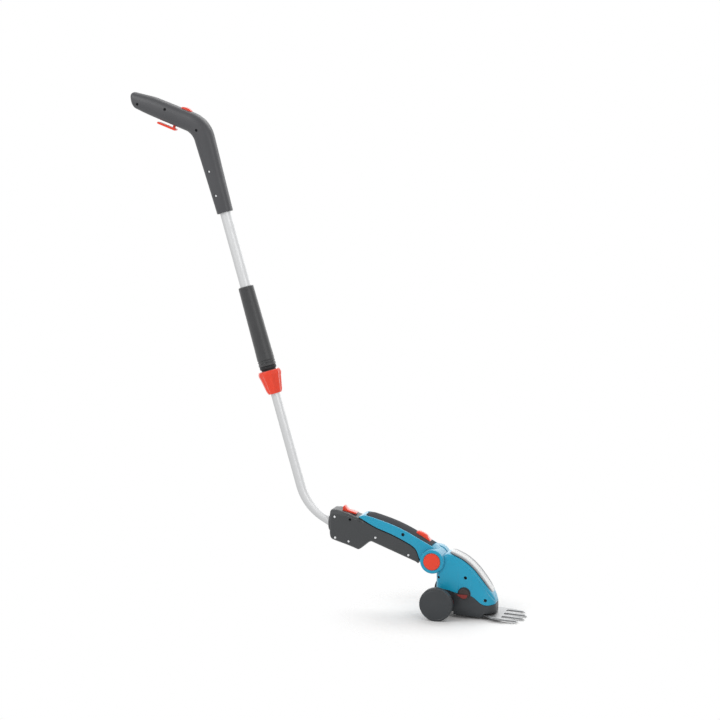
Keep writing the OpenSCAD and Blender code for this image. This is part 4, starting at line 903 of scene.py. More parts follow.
def make_shears_handle():
    """The handle's two shells with the hinge knuckle, black below the cradle's edge as painted shade in the
    gap between handle and cradle.
    """
    grids = [[], []]
    for s in HANDLE_STATIONS:
        inset, back = mix(shell, 12, ease((s + 52) / 24)), 6 * ease((s + 33) / 23)
        grids[0].append([(s, -y, z) for y, z in handle_section(s, 0)])
        grids[1].append([(s - back, -y, z) for y, z in handle_section(s, inset)])
    right = wall(*grids, cap=True)
    rear = handle_section(-handle_len, 1)
    fused(right, lofted([[(-handle_len + d, -y, z) for y, z in rear] for d in (0.4, 2.2)]))
    cut(right, placed(pin(ear_r + gap, knuckle_half - 0.3, 40, steps=128), across(RIGHT)))
    knuckle = pin(knuckle_r, seam + 0.01, knuckle_half, 0.8, 96)
    fused(right, placed(knuckle, across(RIGHT)))
    cut(right, placed(pin(hinge_pin_r + 0.05, -1, 40), across(RIGHT)), start_slot())
    left = mirrored(right)
    cut(right, on_right(bore(screw_hole_r + 0.6, 12, half_w), *handle_screw))
    # Faces below the cradle's edge take the black: painted shade where the handle sinks into the cradle
    for face in list(right.data.polygons) + list(left.data.polygons):
        s, _, z = face.center
        face.material_index = 1 if s < cradle_front and z < rim(s) + 0.05 else 0
    finishes = [turquoise_plastic, black_plastic_and_painted_shade]
    seat_halves(right, left, "Handle_shell", "lower_pole", finishes, HANDLE, "handle")
    head = copies(screw(8), [side_place(*handle_screw, half_w - 1.2)])
    seat(head, "Handle_shell_screw", "lower_pole", black_screw, HANDLE, ["handle_screws"])


def pad_row(s, depth):
    """A row of points across the soft pad, its edges rolled down on the upper side."""
    top = shoulder(s)
    w = min(pad_half, half_w - shoulder_round(s, top) * 0.6) - 0.5
    half = w * mix(0.6, 1, ease((s + handle_len - 8) / 10) * ease((-7 - s) / 10))
    end = min(s + handle_len - pad_inset, pad_front - s)
    roll = 1.1 * (1 - sqrt(1 - (1 - clamp(end / 3.5, 0, 1)) ** 2)) if not depth else 0
    row = []
    for f in [-1, -0.985, -0.96, -0.92] + spread(-0.86, 0.86, 22) + [0.92, 0.96, 0.985, 1]:
        edge = 0.9 * (1 - sqrt(1 - clamp((abs(f) - 0.92) / 0.08, 0, 1) ** 2)) if not depth else 0
        height = top + crowning(s) * (1 - 0.95 * (half * f / w) ** 2) - depth * mix(1, 0.92, abs(f))
        row.append((s, half * f, height - max(edge, roll)))
    return row


def make_soft_pad():
    """The soft pad on the handle's top, open around the start key."""
    stations = [-handle_len + pad_inset + d for d in (0, 0.4, 1, 2, 3.5)] + spread(-143, -20, 60)
    stations += [-18, -16.5, -15.2, -14.3, -13.8, pad_front]
    pad = wall([pad_row(s, 0) for s in stations], [pad_row(s, pad_t - 0.85) for s in stations])
    cut(pad, start_slot())
    seat(pad, "Soft_pad", "lower_pole", soft_rubber, HANDLE, ["soft_grip"])


def make_start_button():
    """The domed key in the handle's top, highest at its rear."""
    rear = shoulder(-49.5) + crowning(-49.5) + 3
    front = shoulder(-20) + crowning(-20) + 0.6
    key = domed([
        (-49.5, 21), (-49.5, rear - 1.5), (-49, rear - 0.5), (-48, rear), (-46, rear + 0.8),
        (-43.5, rear + 1.2), (-40, rear + 1.2), (-36.5, rear + 0.9), (-33, rear + 0.3), (-29.5, rear - 0.6),
        (-25, rear * 0.45 + front * 0.55), (-20.6, front + 0.3), (-20, front - 0.4), (-20, 21),
    ], 7, 4.2, front - 2, rear + 3 - front)
    rounded(key, 0.6, angle=55)
    seat(key, "Start_key", "start_button", key_orange_painted_sheen, HANDLE, ["start_button"])


# Cradle

def cradle_floor(s):
    """Height of the cradle's underside, which drops towards the adapter block."""
    drop = block_drop * ease((-handle_len + 38 - s) / 20)
    return -cradle_depth - drop - 2.5 * ease((-handle_len + 15 - s) / 60)


def cradle_rim(s):
    """Height of the cradle's edge, and of the adapter block's sloped top behind the handle."""
    dip = 1.5 * ease((s + handle_len + 15) / 8) * ease((-handle_len + 9 - s) / 8)
    dip += 2.6 * ease((-handle_len - 32 - s) / 12)
    if s >= -handle_len:
        return rim(s) - dip
    return block_top - dip - (-handle_len - 3 - s) * tan(radians(block_slope))


def cradle_lean(s):
    """How far the sections lean, until the block's rear face stands upright."""
    return -tan(radians(handle_fall)) * ease((-handle_len + 7 - s) / (block_len + 7))


def block_crease(s):
    """Height of the line above which the adapter block's side leans in."""
    return mix(-0.8, 17.5, clamp((s - block_rear) / (block_len + 2), 0, 1))


def rear_round(s):
    """Rounding of the block's rear edges."""
    d = clamp((s - block_rear) / 5.5, 0, 1)
    return 4.6 * (1 - sqrt(1 - (1 - d) ** 2))


def cradle_section(s, inset):
    """The right half of the cradle's section, from the middle of its floor to its edge."""
    back = rear_round(s) if not inset else 0
    low_rim = 0.3 + 1.6 * ease((s + handle_len + 2) / 6)
    lo, hi, w = cradle_floor(s) + inset + back, cradle_rim(s) - low_rim - back * 1.4, half_w - inset - back
    r = max(1, min(8, (hi - cradle_floor(s)) * 0.55) - inset)
    on_block, on_rear = ease((-handle_len + 14 - s) / 8), ease((block_rear + 24 - s) / 16)
    edge = mix(1.1, 3.0, on_block)
    crease = clamp(block_crease(s), lo + r + 0.6, hi - edge - 0.8)
    section = [(seam, lo), ((w - r) * 0.4, lo), ((w - r) * 0.8, lo)] + arc(w - r, lo + r, r, -90, 0, 8)
    for z in spread(lo + r, crease - 0.3, 16)[1:] + spread(crease + 0.4, hi - edge, 8):
        lean = on_block * (0.38 * max(0, z - crease) + 1.1 * ease((z - crease + 0.3) / 0.7))
        boss = 0.7 * on_rear * ease((-11.5 - z) / 2.5)
        section.append((w - lean - 0.7 * on_rear + boss, z))
    w = section[-1][0]
    return section + arc(w - edge, hi - edge, edge, 18, 84, 5)


def block_fill(s):
    """Points up the middle and out along the roof, which close the adapter block's section."""
    section = cradle_section(s, 0)
    lo, (w, hi) = section[0][1], section[-1]
    rise = len(section) // 2
    fill = [(seam, mix(lo + 0.5, hi + 0.1, k / rise)) for k in range(rise)]
    return fill + [(y, hi + 0.1) for y in spread(seam, w - 0.3, len(section) - rise - 1)]


def make_cradle():
    """The cradle's two shells with the latch's slots and the tube's hole, and their screws."""
    stations = [block_rear + d for d in (0, 0.2, 0.6, 1.2, 2, 3, 4.2, 5.5)] + spread(block_rear + 7, -161, 12)
    stations += [-160, -158.5, -158.2] + spread(-157.6, -handle_len + 6, 6)
    stations += spread(-handle_len + 8, -handle_len + 42, 24) + spread(-111, -62, 14)
    stations += spread(-60, cradle_front, 26)
    grids = [[], []]
    for s in stations:
        inner = cradle_section(s, shell) if s > fill_end else block_fill(s)
        for grid, section in zip(grids, (cradle_section(s, 0), inner)):
            grid.append([(s + cradle_lean(s) * (z + socket_drop), -y, z) for y, z in section])
    right = wall(*grids)
    latch_slots = [
        block((-31.4, -3.4, -9), (-14.6, 3.4, 3)), block((-31.6, -6.6, -8.2), (-6.4, 6.6, -4)),
        placed(pin(2.4, -42.2, -25), move(0, 0, -6) @ turn("Y", 90)),
    ]
    tube_hole = placed(pin(lower_tube_r + 2.6, -20, 60, steps=90), TO_TUBE_END @ turn("Z", 3))
    cut(right, tube_hole, *[placed(slot, TO_BLOCK_TOP) for slot in latch_slots])
    left = mirrored(right)
    screws = [(-200, -2), (-185, -38), (-159, -34), (-handle_len * 0.73, -6), (-46, -10)]
    holes = [on_right(bore(screw_hole_r, 12, half_w), x, z) for x, z in screws]
    holes.append(on_right(bore(2.2, 12, half_w - 0.8), -171, 5.5))
    cut(right, *holes)
    seat_halves(right, left, "Cradle_shell", "lower_pole", dark_plastic, HANDLE, "cradle")
    heads = copies(screw(2.4, 1.4), [side_place(x, z, half_w - 0.6) for x, z in screws])
    seat(heads, "Cradle_shell_screws", "lower_pole", screw_steel, HANDLE, ["cradle_screws"])


def make_bush():
    """A lining around the tube's foot, and an upright boss that shows behind the block."""
    rows = []
    for back, inset in ((4.5, 1.9), (4.4, 1.1), (4.0, 0.5), (3.3, 0.1), (2.8, 0), (0.1, 0)):
        outline = arc(0, 2, 13 - inset, 0, 180, 24) + arc(0, -2, 13 - inset, 180, 360, 24)
        rows.append([(socket.x - back, y, socket.y + z) for y, z in outline])
    to_tube = HANDLE_TO_PART @ TO_TUBE_END
    bush = fused(lofted(rows), placed(pin(lower_tube_r + 2.5, 2, tube_depth), to_tube))
    cut(bush, placed(pin(lower_tube_r + 0.1, -20, 60), to_tube))
    seat(bush, "Tube_bush", "lower_pole", dark_plastic, PART, ["socket_bush"])


def make_release_latch():
    """The key on the adapter block, and its foot in the slot below."""
    key = domed([
        (-33, gap), (-33.4, 4), (-33.8, 8.4), (-33.3, 9.6), (-32, 10.5), (-30.6, 10), (-29.2, 8.6),
        (-27.6, 6.8), (-25.8, 5.6), (-23, 4.9), (-19, 4.4), (-13, 4.2), (-8.4, 4), (-6.8, 3.6),
        (-6, 2.6), (-6, gap),
    ], 8, 2.4, 1.2, 6)
    rounded(key, 0.6, angle=50)
    fused(key, block((-25, -3, -7), (-15, 3, 1.2)), block((-25, -6, -7.5), (-7, 6, -4.5)))
    grooves = [rounded(block((x - 0.5, -6, 3.75), (x + 0.5, 6, 6)), 0.25) for x in (-19, -16.4, -13.8, -11.2)]
    cut(key, *grooves)
    seat(key, "Latch_key", "release_latch", key_orange_painted_sheen, BLOCK_TOP, ["release_latch"])


# Head

def head_edge(x):
    """Height of the head's lower edge along its side."""
    return curve([
        (head_rear, 53.3), (2, 53), (15, 51.5), (30, 47.5), (46, 45.5), (58, 43.2), (64, 40),
        (70, 35), (76, 30.6), (82, 28), (88, 27.2), (head_front, 28),
    ], x)


def head_seam(x):
    """Height of the line between the head and its dark base, which rises over the lock knob."""
    d = x - knob_x
    return max(head_edge(x), knob_z + sqrt(knob_ring**2 - d**2)) if abs(d) < knob_ring else head_edge(x)


def head_top(x):
    """Height of the head's top line."""
    return curve([
        (head_rear, 88), (-3, 104), (4, 112), (10, 115.3), (17, 115.6), (25, 113), (43, 104.2), (61, 89.5),
        (79, 67.8), (90, 52.6), (95, 45), (98.5, 37), (head_front, 31.2),
    ], x)


def head_side(x):
    """Half the head's width at its lower edge."""
    h = head_half
    return curve([
        (head_rear, h - 8), (-4, h - 3), (2, h - 0.6), (10, h), (40, h), (72, h), (78, h - 0.1),
        (86, h - 1.5), (92, h - 5), (96, h - 9.5), (99, h - 15), (head_front, h - 18),
    ], x)


def head_crown(x):
    """Half the head's width at its top."""
    c = crown_half
    return curve([
        (head_rear, c - 5), (-4, c - 1.5), (4, c - 0.4), (20, c), (60, c), (80, c - 1), (90, c - 3.5),
        (96, c - 8.5), (head_front, c - 14),
    ], x)


def head_section(x, inset):
    """The right half of the head's section, from its lower edge to the middle of its top."""
    lo = head_seam(x)
    hi = max(head_top(x) - inset, lo + 0.5)
    foot, w = head_side(x) - inset, head_crown(x) - inset
    r = min(max(1, 7 - inset), (hi - lo) * 0.4)
    edge = 0.5 if not inset else 0
    section = [(foot - edge, lo), (foot - edge * 0.2, lo + edge * 0.5)]
    for f in spread(0.04, 0.96, 12):
        full = foot - (foot - w) * f * (hi - lo - r) / max(1, hi - lo)
        section.append((full + 0.5 * sin(pi * f), mix(lo, hi - r, f)))
    section += arc(w - r, hi - r, r, 0, 90, 8)
    return section + [(max(seam, (w - r) * f), hi + 1 - f * f) for f in (0.85, 0.66, 0.45, 0.25, 0.1, 0)]


KNOB_STATIONS = [knob_x - knob_ring * cos(radians(a)) for a in spread(0, 180, 28)]


def make_head():
    """The head's two shells with the hinge ears, and their screws."""
    stations = spread(head_rear, 32, 44) + KNOB_STATIONS + spread(59, 88, 24) + spread(89, 98, 14)
    stations += [98.6, 99.1, 99.5, 99.8, head_front]
    grids = [[], []]
    for x in stations:
        grids[0].append([(x, -y, z) for y, z in head_section(x, 0)])
        grids[1].append([(x - shell * ease((x - 92) / 8), -y, z) for y, z in head_section(x, shell)])
    right = wall(*grids)
    foot = head_seam(head_rear)
    rear_wall = block((head_rear + 0.05, -head_half + 8.8, foot + 0.3), (head_rear + shell, -seam, foot + 26))
    foot, side = head_seam(head_front), head_side(head_front)
    front_wall = block((head_front - shell, -side + 1.5, foot + 0.3), (head_front - 0.1, -seam, foot + 3))
    ear = [(0, ear_in), (ear_r - 0.6, ear_in), (ear_r, ear_in + 0.6)]
    ear += arc(ear_r - 1.6, ear_out - 1.6, 1.6, 0, 90, 6) + [(0, ear_out)]
    to_ear = move(hinge_x, 0, hinge_z) @ across(RIGHT)
    # Joined one at a time, because joining all three in one step loses the ear in some runs
    for part in (placed(turned(ear, 128), to_ear), rear_wall, front_wall):
        fused(right, part)
    button_seat = [
        (0, ear_in + ear_web), (15.9, ear_in + ear_web), (15.9, ear_out - 0.9), (16.3, ear_out - 0.25),
        (17.0, ear_out + 0.05), (17.0, 60), (0, 60),
    ]
    knuckle_room = pin(knuckle_r + gap, -1, ear_in + 0.02, steps=96)
    tools = [knuckle_room, turned(button_seat, 128), pin(hinge_pin_r + 0.05, -1, 24)]
    cut(right, *[placed(tool, to_ear) for tool in tools])
    left = mirrored(right)
    screws = [(47, 75.5, 27.5, 3), (84, 36, 28.5, 3), (-3, 73, 27, screw_hole_r)]
    cut(right, *[on_right(bore(hole, 12, depth + 0.6), x, z) for x, z, depth, hole in screws])
    seat_halves(right, left, "Head_shell", "head", turquoise_plastic, PART, "head")
    heads = copies(screw(8), [side_place(x, z, depth - 2) for x, z, depth, _ in screws])
    seat(heads, "Head_shell_screws", "head", black_screw, PART, ["head_screws"])


def trim_row(x, rise):
    """A row of points across the trim strip, its edges rolled down on the upper side."""
    tip = min(x - trim_rear, trim_front - x)
    end = sqrt(1 - (1 - clamp(tip / 11, 0, 1)) ** 2)
    half = (head_crown(x) - 4.5) * mix(0.5, 1, end)
    roll = 0.9 * (1 - sqrt(1 - (1 - clamp(tip / 2.5, 0, 1)) ** 2)) if rise else 0
    row = []
    for f in [-1, -0.996, -0.98, -0.955, -0.92] + spread(-0.88, 0.88, 20) + [0.92, 0.955, 0.98, 0.996, 1]:
        edge = 1.4 * (1 - sqrt(1 - clamp((abs(f) - 0.76) / 0.24, 0, 1) ** 2)) if rise else 0
        row.append((x, half * f, head_top(x) + 1.15 - 0.35 * f * f + rise - max(edge, roll)))
    return row


def make_trim():
    """The smoky strip along the head's top, its sides painted dark as shade along its edges."""
    stations = [trim_rear, 15.3, 15.8, 16.6, 17.5] + spread(19, 89, 60)
    stations += [90.5, 91.6, 92.6, 93.3, 93.7, trim_front]
    strip = wall([trim_row(x, 2) for x in stations], [trim_row(x, 0) for x in stations])
    # Side faces take a dark teal: painted shade along the strip's edges
    for face in strip.data.polygons:
        face.material_index = 1 if abs(face.normal.y) > 0.85 else 0
    seat(strip, "Trim_strip", "head", [smoky_trim, trim_side_painted_shade], PART, ["head_trim"])


# Base and hinge

def base_low(x):
    """Height of the base's underside, which rises a little to the rear."""
    return base_rise + max(0, cover_front - x) * tan(radians(base_tilt))


def case_low(x):
    """Height of the gear case's lower edge, which lifts over the blades."""
    return mix(base_low(x), 11.4, ease((x - 77) / 6))


def shrunk(inset):
    """Share of the head's width that is left inside an inset."""
    return 1 - inset / head_half


def make_gear_case():
    """The wall of the dark base, and the plate that closes it from below."""
    stations = spread(case_rear, 33, 7) + KNOB_STATIONS + spread(59, 76, 12) + spread(77, 88, 16)
    stations += spread(89, head_front, 18)
    nose = [(100.45, -9), (case_front, -6), (case_front, 6), (100.45, 9)]
    ring = [(x, -head_side(x)) for x in stations] + nose
    ring += [(x, head_side(x)) for x in reversed(stations)] + [(case_rear, 12), (case_rear, -12)]
    middle = (case_rear + case_front) / 2
    outer, inner = [], []
    for x, y in ring:
        at = clamp(x, case_rear, head_front)
        low, top = case_low(at), head_seam(at) - 0.7
        levels = [
            (low, 0.9), (low + 0.3, 0.3), (low + 0.9, 0), (mix(low, top, 0.35), -0.1),
            (mix(low, top, 0.7), -0.05), (top - 0.5, 0), (top, 0.4),
        ]
        outer.append([(middle + (x - middle) * shrunk(i * 0.8), y * shrunk(i), z) for z, i in levels])
        span = mix(case_rear + shell, case_front - shell, (x - case_rear) / (case_front - case_rear))
        inner.append([(span, y * shrunk(shell), z) for z, _ in levels])
    case = wall(outer, inner, ring=True)
    cut(case, *[placed(pin(4.05, 0, 60), move(knob_x, 0, knob_z) @ across(side)) for side in (RIGHT, LEFT)])
    seat(case, "Gear_case_wall", "head", base_plastic, PART, ["gear_case"])

    length = cover_front - case_rear - shell - 0.2
    cover = rounded(block((-length, -case_half + 0.2, 0), (0, case_half - 0.2, 1.8)), 0.4)
    seats = [(-x, side * 21) for x in (6, length - 6) for side in (RIGHT, LEFT)]
    cut(cover, *[placed(pin(2.4, -1, 0.7), move(x, y, 0)) for x, y in seats])
    to_cover = PART @ move(cover_front, 0, base_rise) @ turn("Y", base_tilt)
    holder = rounded(block((-13, -26, -2), (8.5, 26, -0.1)), 0.4)
    fused(cover, placed(holder, to_cover.inverted() @ BLADES))
    seat(cover, "Base_plate", "head", base_plastic, to_cover, ["base_cover"])


def make_hinge_buttons():
    """The round cap of each hinge button, with a groove near its rim."""
    r, low = hinge_button_r, ear_out - 5.5
    face = [(0, low), (r, low)] + arc(r - 1.4, ear_out - 0.5, 1.4, 0, 80, 6)
    face += [(r - 2.6, ear_out + 1.0), (r - 2.9, ear_out + 0.75)]
    face += [(r - 3.4, ear_out + 0.75), (r - 3.7, ear_out + 1.05)]
    face += [(r * f, ear_out + 1.5 - 0.45 * f) for f in (0.6, 0.35, 0.12)] + [(0, ear_out + 1.5)]
    for side in (RIGHT, LEFT):
        name = SIDE_NAMES[side]
        body = f"hinge_button_{name}"
        place = PART @ move(hinge_x, 0, hinge_z) @ across(side)
        seat(turned(face, 96), f"Hinge_cap_{name}", body, orange_plastic, place, [body])


# Wheels and locks

def make_wheel_carrier():
    """The beam behind the base with the axle's tube, and a small red tab on its side."""
    outline = [
        (case_rear - 0.2, 12), (case_rear - 0.2, 46.5), (20, 48.8), (14, 50.3), (4, 51.4), (-5, 52),
        (-6.2, 44), (-7, 36.5), (-7, 24.5), (-4, 19.5), (2, 14), (8, 12.6),
    ]
    rounding = ((0, 0.5), (1.5, -1.5), (4, -3.5), (8, -5.5), (14, -7))
    corner = [(head_half - 4 - d, rear) for d, rear in rounding]
    widths = [(-y, rear) for y, rear in corner] + list(reversed(corner))
    beam = lofted([[(max(x, rear), y, z) for x, z in outline] for y, rear in widths])
    rounded(beam, 0.8, angle=35)
    to_axle = move(0, 0, wheel_r) @ across(RIGHT)
    fused(beam, placed(pin(axle_r + 4, -wheel_in + 1, wheel_in - 1, 0.8), to_axle))
    cut(beam, placed(pin(axle_r + 0.02, -100, 100), to_axle))
    seat(beam, "Carrier_beam", "head", base_plastic, PART, ["wheel_carrier"])
    tab = rounded(block((22.4, -head_half + 3.4, 25.5), (25.4, -head_half + 6, 31.5)), 0.5)
    seat(tab, "Carrier_mark", "head", pointer_red, PART)


def make_wheels():
    """Two wheels with grooves in the tread and eight spokes on the inner side."""
    r, face = wheel_r, wheel_in + wheel_w
    profile = [
        (0, axle_end + gap), (axle_r + 0.05, axle_end + gap), (axle_r + 0.05, wheel_in + 0.2),
        (axle_r + 4.6, wheel_in + 0.2), (axle_r + 5, wheel_in + 0.6), (axle_r + 6, face - 5),
        (r - 6, face - 5), (r - 5, wheel_in + 0.4), (r - 4.6, wheel_in), (r - 1.6, wheel_in),
    ]
    profile += arc(r - 1.2, wheel_in + 1.2, 1.2, -70, 0, 5)
    for z in spread(wheel_in + 3, face - 4, 2):
        profile += [(r, z - 0.45), (r - 0.35, z - 0.2), (r - 0.35, z + 0.2), (r, z + 0.45)]
    profile += arc(r - 2.2, face - 2.2, 2.2, 0, 84, 8)
    profile += [(r - 3.2, face - 0.02), (r - 3.6, face - 0.28), (r - 4.2, face - 0.28)]
    profile += [(r - 4.6, face - 0.02), (r * 0.5, face), (0, face)]
    for side in (RIGHT, LEFT):
        name = SIDE_NAMES[side]
        body = f"wheel_{name}"
        disc = turned(profile, 120)
        spokes = []
        for k in range(8):
            spoke = block((axle_r + 4.5, -0.9, wheel_in + 1.5), (r - 5.2, 0.9, face - 4.6))
            spokes.append(placed(spoke, turn("Z", 45 * k + 12)))
        fused(disc, *spokes)
        place = PART @ move(0, 0, wheel_r) @ across(side)
        seat(disc, f"Wheel_disc_{name}", body, base_plastic, place, [body])


def make_lock_knobs():
    """The dark knob on each side of the base, and its red pointer."""
    r, low, face = knob_r, head_half + gap, head_half + 4.2
    profile = [(0, case_half - 2.9), (6.5, case_half - 2.9), (6.5, case_half - gap), (4, case_half - gap)]
    profile += [(4, low), (r - 0.4, low), (r, low + 0.4)]
    profile += arc(r - 0.9, face - 0.9, 0.9, 0, 90, 5) + [(r - 1.4, face), (0, face)]
    for side in (RIGHT, LEFT):
        name = SIDE_NAMES[side]
        body = f"lock_knob_{name}"
        place = PART @ move(knob_x, 0, knob_z) @ across(side)
        seat(turned(profile, 96), f"Knob_ring_{name}", body, knob_plastic, place, [body])
        half_disc = arc(0, -0.5, r - 2.3, -180 + 42, 0, 20)
        outline = [(-r - 3, -1.5), (-r - 3, -0.6), (r - 2.3, -0.5)] + list(reversed(half_disc))
        outline = [(x, y * -side) for x, y in outline]
        mark = rounded(drawn(outline, face, face + 2.2, along="Z"), 0.45, angle=50)
        seat(mark, f"Knob_mark_{name}", body, pointer_red, place, [f"lock_pointer_{name}"])


# Blades

TOOTH_ROOT, TOOTH_PITCH = 26, blade_w * 0.284


def blade_outline(tail_from, tail, body, reach, root_half, tip_half):
    """The outline of a blade with four teeth, from the half widths of its tail, body and teeth."""
    neck = mix(tail, body * 0.82, 0.3)
    flank = [(tail_from, tail), (-12, tail), (-8, neck), (-1, body * 0.82), (5, body * 0.96), (10, body)]
    outline = [(x, -y) for x, y in flank]
    for k in range(4):
        y = (k - 1.5) * TOOTH_PITCH
        tip = reach - 8.5 * (y / (1.5 * TOOTH_PITCH)) ** 2 - tip_half
        outline.append((TOOTH_ROOT, y - root_half))
        outline += arc(tip, y, tip_half, -80, 80, 10)
        outline.append((TOOTH_ROOT, y + root_half))
        if k < 3:
            half = TOOTH_PITCH / 2 - root_half
            valley = arc(y + TOOTH_PITCH / 2, TOOTH_ROOT, half, 190, 350, 10)
            outline += [(TOOTH_ROOT + (z - TOOTH_ROOT) * 0.6, v) for v, z in valley]
    return outline + list(reversed(flank))


def make_blades():
    """The fixed lower blade, and the upper one that swings, with bright edges on its teeth."""
    outline = blade_outline(-60, case_half - 3, blade_w / 2 - 1, blade_reach, 6.2, 2.4)
    lower = drawn(outline, 0, blade_t, along="Z")
    rounded(lower, 0.35, angle=50, segments=2)
    pivot_hole = placed(pin(3.02, -5, 5), move(pivot_x, 0, 0))
    cut(lower, pivot_hole, *[placed(pin(1.62, -5, 5), move(-44, y, 0)) for y in (-18, 18)])
    seat(lower, "Blade_lower", "head", blade_steel, BLADES, ["lower_blade"])

    low = blade_t + 0.05
    outline = blade_outline(-36, 13.6, blade_w / 2 - 2.5, blade_reach - 3, 5.2, 2)
    upper = drawn(outline, low, low + blade_t, along="Z")
    rounded(upper, 0.5, angle=50, segments=1)
    tail = arc(pivot_x, 0, 5.4, 90, 270, 20) + [(-32, -5.4), (-32, 5.4)]
    fused(upper, drawn(tail, low, low + blade_t, along="Z"))
    pivot_hole = placed(pin(3.05, -5, 5), move(pivot_x, 0, 0))
    crank_slot = rounded(block((-29.6, -8.5, -5), (-18.4, 8.5, 5)), 1.5)
    cut(upper, pivot_hole, crank_slot)
    for face in upper.data.polygons:
        sloped = 0.2 < abs(face.normal.z) < 0.95
        face.material_index = 1 if sloped else 0
    finishes = [blade_steel, edge_steel]
    seat(upper, "Blade_upper", "upper_blade", finishes, BLADES, ["upper_blade"])


# Springs

def make_springs():
    """Springs behind the keys, each a coil seated on the body that holds it; the table also gives each one's
    joint, travel and resting end.
    """
    trigger_seat, near_web, rest = -grip_half(trigger_l) + shell + 5.1, ear_in + ear_web + 0.1, 0.1
    ears = [PART @ move(hinge_x, 0, hinge_z) @ across(side) @ move(0, 0, near_web) for side in (RIGHT, LEFT)]
    hinge = (hinge_pin_r + 3, 0.6, ear_out - 5.6 - near_web, 3)
    springs = [
        ("trigger_spring", "upper_pole", "trigger_press", 4, GRIP @ move(trigger_seat, 0, 52) @ turn("Y", 90),
         (2.4, 0.45, -trigger_seat - rest, 5), True),
        ("latch_spring", "lower_pole", "latch_pull", 6, BLOCK_TOP @ move(-42 + rest, 0, -6) @ turn("Y", 90),
         (1.6, 0.4, 17 - 2 * rest, 6), False),
        ("hinge_spring_right", "head", "hinge_press_right", 3, ears[0], hinge, False),
        ("hinge_spring_left", "head", "hinge_press_left", 3, ears[1], hinge, False),
    ]
    for node, body, joint, travel, place, (r, wire, length, turns), rests_at_end in springs:
        spring = coil(r, wire, length, turns)
        seat(spring, f"Coil_{node}", body, screw_steel, place, [node])
        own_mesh(spring)


# Hidden works keep their CAD shape

INNER_FINISHES = {
    black_plastic_and_painted_shade: ["tube_guide", "trigger_switch", "start_switch", "battery_carrier", "crank_gear"],
    screw_steel: ["hinge_pin", "wheel_axle", "gear_shaft", "blade_pivot", "blade_screws"],
    motor_steel: ["motor", "motor_plate"],
    pinion_brass: ["motor_pinion"],
    cell_wrap: ["battery_cells"],
    board_green: ["control_board"],
}


def finish_inner_works():
    """Gives the CAD solids inside the shells their finishes."""
    for finish, names in INNER_FINISHES.items():
        for name in names:
            node = frame["nodes"][name]
            node.data.materials.clear()
            node.data.materials.append(finish)


# Studio

# Light of the white surroundings on the object; they count as 1 where they are seen or mirrored
SKY_LEVEL = 0.56
# Distances in metres from the middle of the head, between which the paper fades from shaded to clear
PAPER_NEAR, PAPER_FAR = 0.13, 0.27
# Name, place, aim, width, height and power of each softbox
SOFTBOXES = [
    ("Key_softbox", (-1.6, -1.9, 2.2), (0, 0, 0.4), 1.6, 1.6, 32),
    ("Fill_softbox", (1.9, -1.6, 1.3), (0.1, 0, 0.3), 1.4, 1.4, 12),
    ("Top_softbox", (0.3, 1.3, 2.3), (0.1, 0, 0.2), 1.8, 1.8, 28),
    ("Back_softbox", (0.1, 2.6, 0.85), (0.1, 0, 0.4), 6.0, 1.6, 30),
]
CAMERA_PLACE = (axle_x + 0.7833, -3.1837, 0.8931)
CAMERA_TILT, CAMERA_TURN, FOCAL_LENGTH = 82.6, 16.5, 91.65


def mirror_rays(tree, path):
    """One for rays that a glossy or clear surface sends on, else zero."""
    kinds = {0: path["Is Glossy Ray"], 1: path["Is Transmission Ray"]}
    return put(tree, "Math", kinds, operation="MAXIMUM")


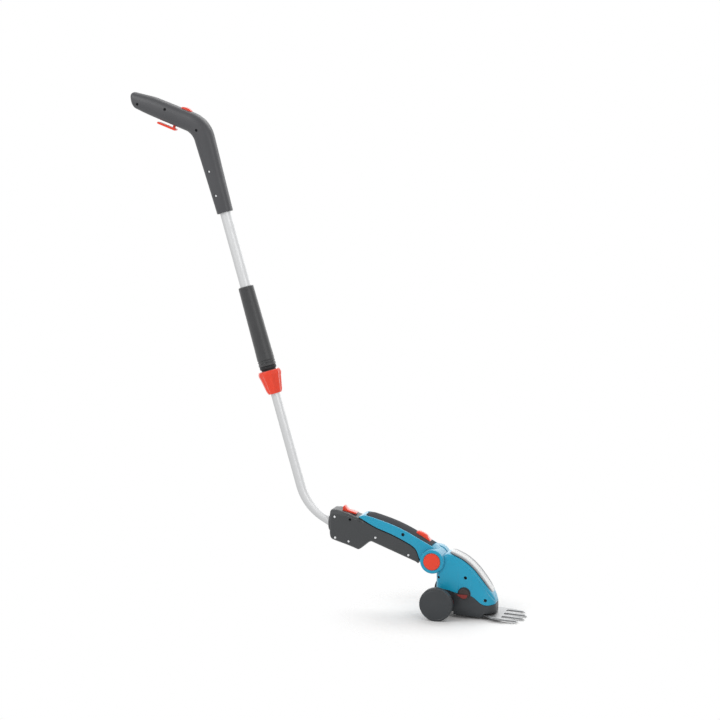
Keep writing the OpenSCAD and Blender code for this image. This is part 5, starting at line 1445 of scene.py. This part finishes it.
def make_floor():
    """White paper: shaded near the object, farther off clear to the camera and white in mirrored light."""
    bpy.ops.mesh.primitive_plane_add(size=9, location=(0, 0, 0))
    floor = bpy.context.object
    floor.name = "Studio_floor"
    sheet, tree, surface = blank_finish("White paper floor")
    tree.nodes.remove(surface)
    place = put(tree, "TexCoord").outputs["Object"]
    away = put(tree, "VectorMath", {0: place, 1: (axle_x + 0.05, -0.02, 0.0)}, operation="DISTANCE")
    fade = {"Value": away.outputs["Value"], "From Min": PAPER_NEAR, "From Max": PAPER_FAR}
    far = put(tree, "MapRange", fade, interpolation_type="SMOOTHSTEP")
    shaded = put(tree, "BsdfDiffuse", {"Color": (0.91, 0.906, 0.902, 1)})
    white = put(tree, "Emission", {"Color": (1, 1, 1, 1), "Strength": 1.0})
    open_air = put(tree, "BsdfTransparent")
    path = put(tree, "LightPath").outputs
    shine = mirror_rays(tree, path)
    glare = put(tree, "Math", {0: shine.outputs[0], 1: far.outputs[0]}, operation="MULTIPLY")
    paper = put(tree, "MixShader", {0: glare.outputs[0], 1: shaded.outputs[0], 2: white.outputs[0]})
    seen = put(tree, "Math", {0: path["Is Camera Ray"], 1: far.outputs[0]}, operation="MULTIPLY")
    clear = put(tree, "Math", {0: seen.outputs[0], 1: path["Is Shadow Ray"]}, operation="MAXIMUM")
    whole = put(tree, "MixShader", {0: clear.outputs[0], 1: paper.outputs[0], 2: open_air.outputs[0]})
    tree.links.new(whole.outputs[0], tree.nodes["Material Output"].inputs["Surface"])
    floor.data.materials.append(sheet)


def make_lights():
    """White surroundings and four softboxes."""
    world = bpy.data.worlds.new("White studio")
    bpy.context.scene.world = world
    world.use_nodes = True
    sky = world.node_tree
    sky.nodes.clear()
    path = put(sky, "LightPath").outputs
    shine = mirror_rays(sky, path)
    seen = put(sky, "Math", {0: shine.outputs[0], 1: path["Is Camera Ray"]}, operation="MAXIMUM")
    level = put(sky, "MapRange", {"Value": seen.outputs[0], "To Min": SKY_LEVEL, "To Max": 1.0})
    light = put(sky, "Background", {"Color": (1, 1, 1, 1), "Strength": level.outputs[0]})
    result = put(sky, "OutputWorld", {"Surface": light.outputs[0]})
    result.is_active_output = True

    for name, spot, aim, wide, tall, power in SOFTBOXES:
        lamp = bpy.data.lights.new(name, "AREA")
        lamp.energy, lamp.shape, lamp.size, lamp.size_y = power, "RECTANGLE", wide, tall
        holder = bpy.data.objects.new(name, lamp)
        holder.location = spot
        holder.rotation_euler = (Vector(aim) - Vector(spot)).to_track_quat("-Z", "Y").to_euler()
        bpy.context.scene.collection.objects.link(holder)


def make_camera():
    """The view of the photograph."""
    lens = bpy.data.cameras.new("Photo_camera")
    lens.sensor_width, lens.lens, lens.sensor_fit = 36, FOCAL_LENGTH, "HORIZONTAL"
    lens.clip_start, lens.clip_end = 0.1, 60
    camera = bpy.data.objects.new("Photo_camera", lens)
    camera.location = CAMERA_PLACE
    camera.rotation_euler = (radians(CAMERA_TILT), 0, radians(CAMERA_TURN))
    bpy.context.scene.collection.objects.link(camera)
    bpy.context.scene.camera = camera
    bpy.context.scene.view_settings.view_transform = "Standard"


make_tubes()
make_sleeve()
make_clamp()
make_top_handle()
make_trigger()
make_lock_button()
make_shears_handle()
make_soft_pad()
make_start_button()
make_cradle()
make_bush()
make_release_latch()
make_head()
make_trim()
make_gear_case()
make_hinge_buttons()
make_wheel_carrier()
make_wheels()
make_lock_knobs()
make_blades()
make_springs()
finish_inner_works()
make_floor()
make_lights()
make_camera()
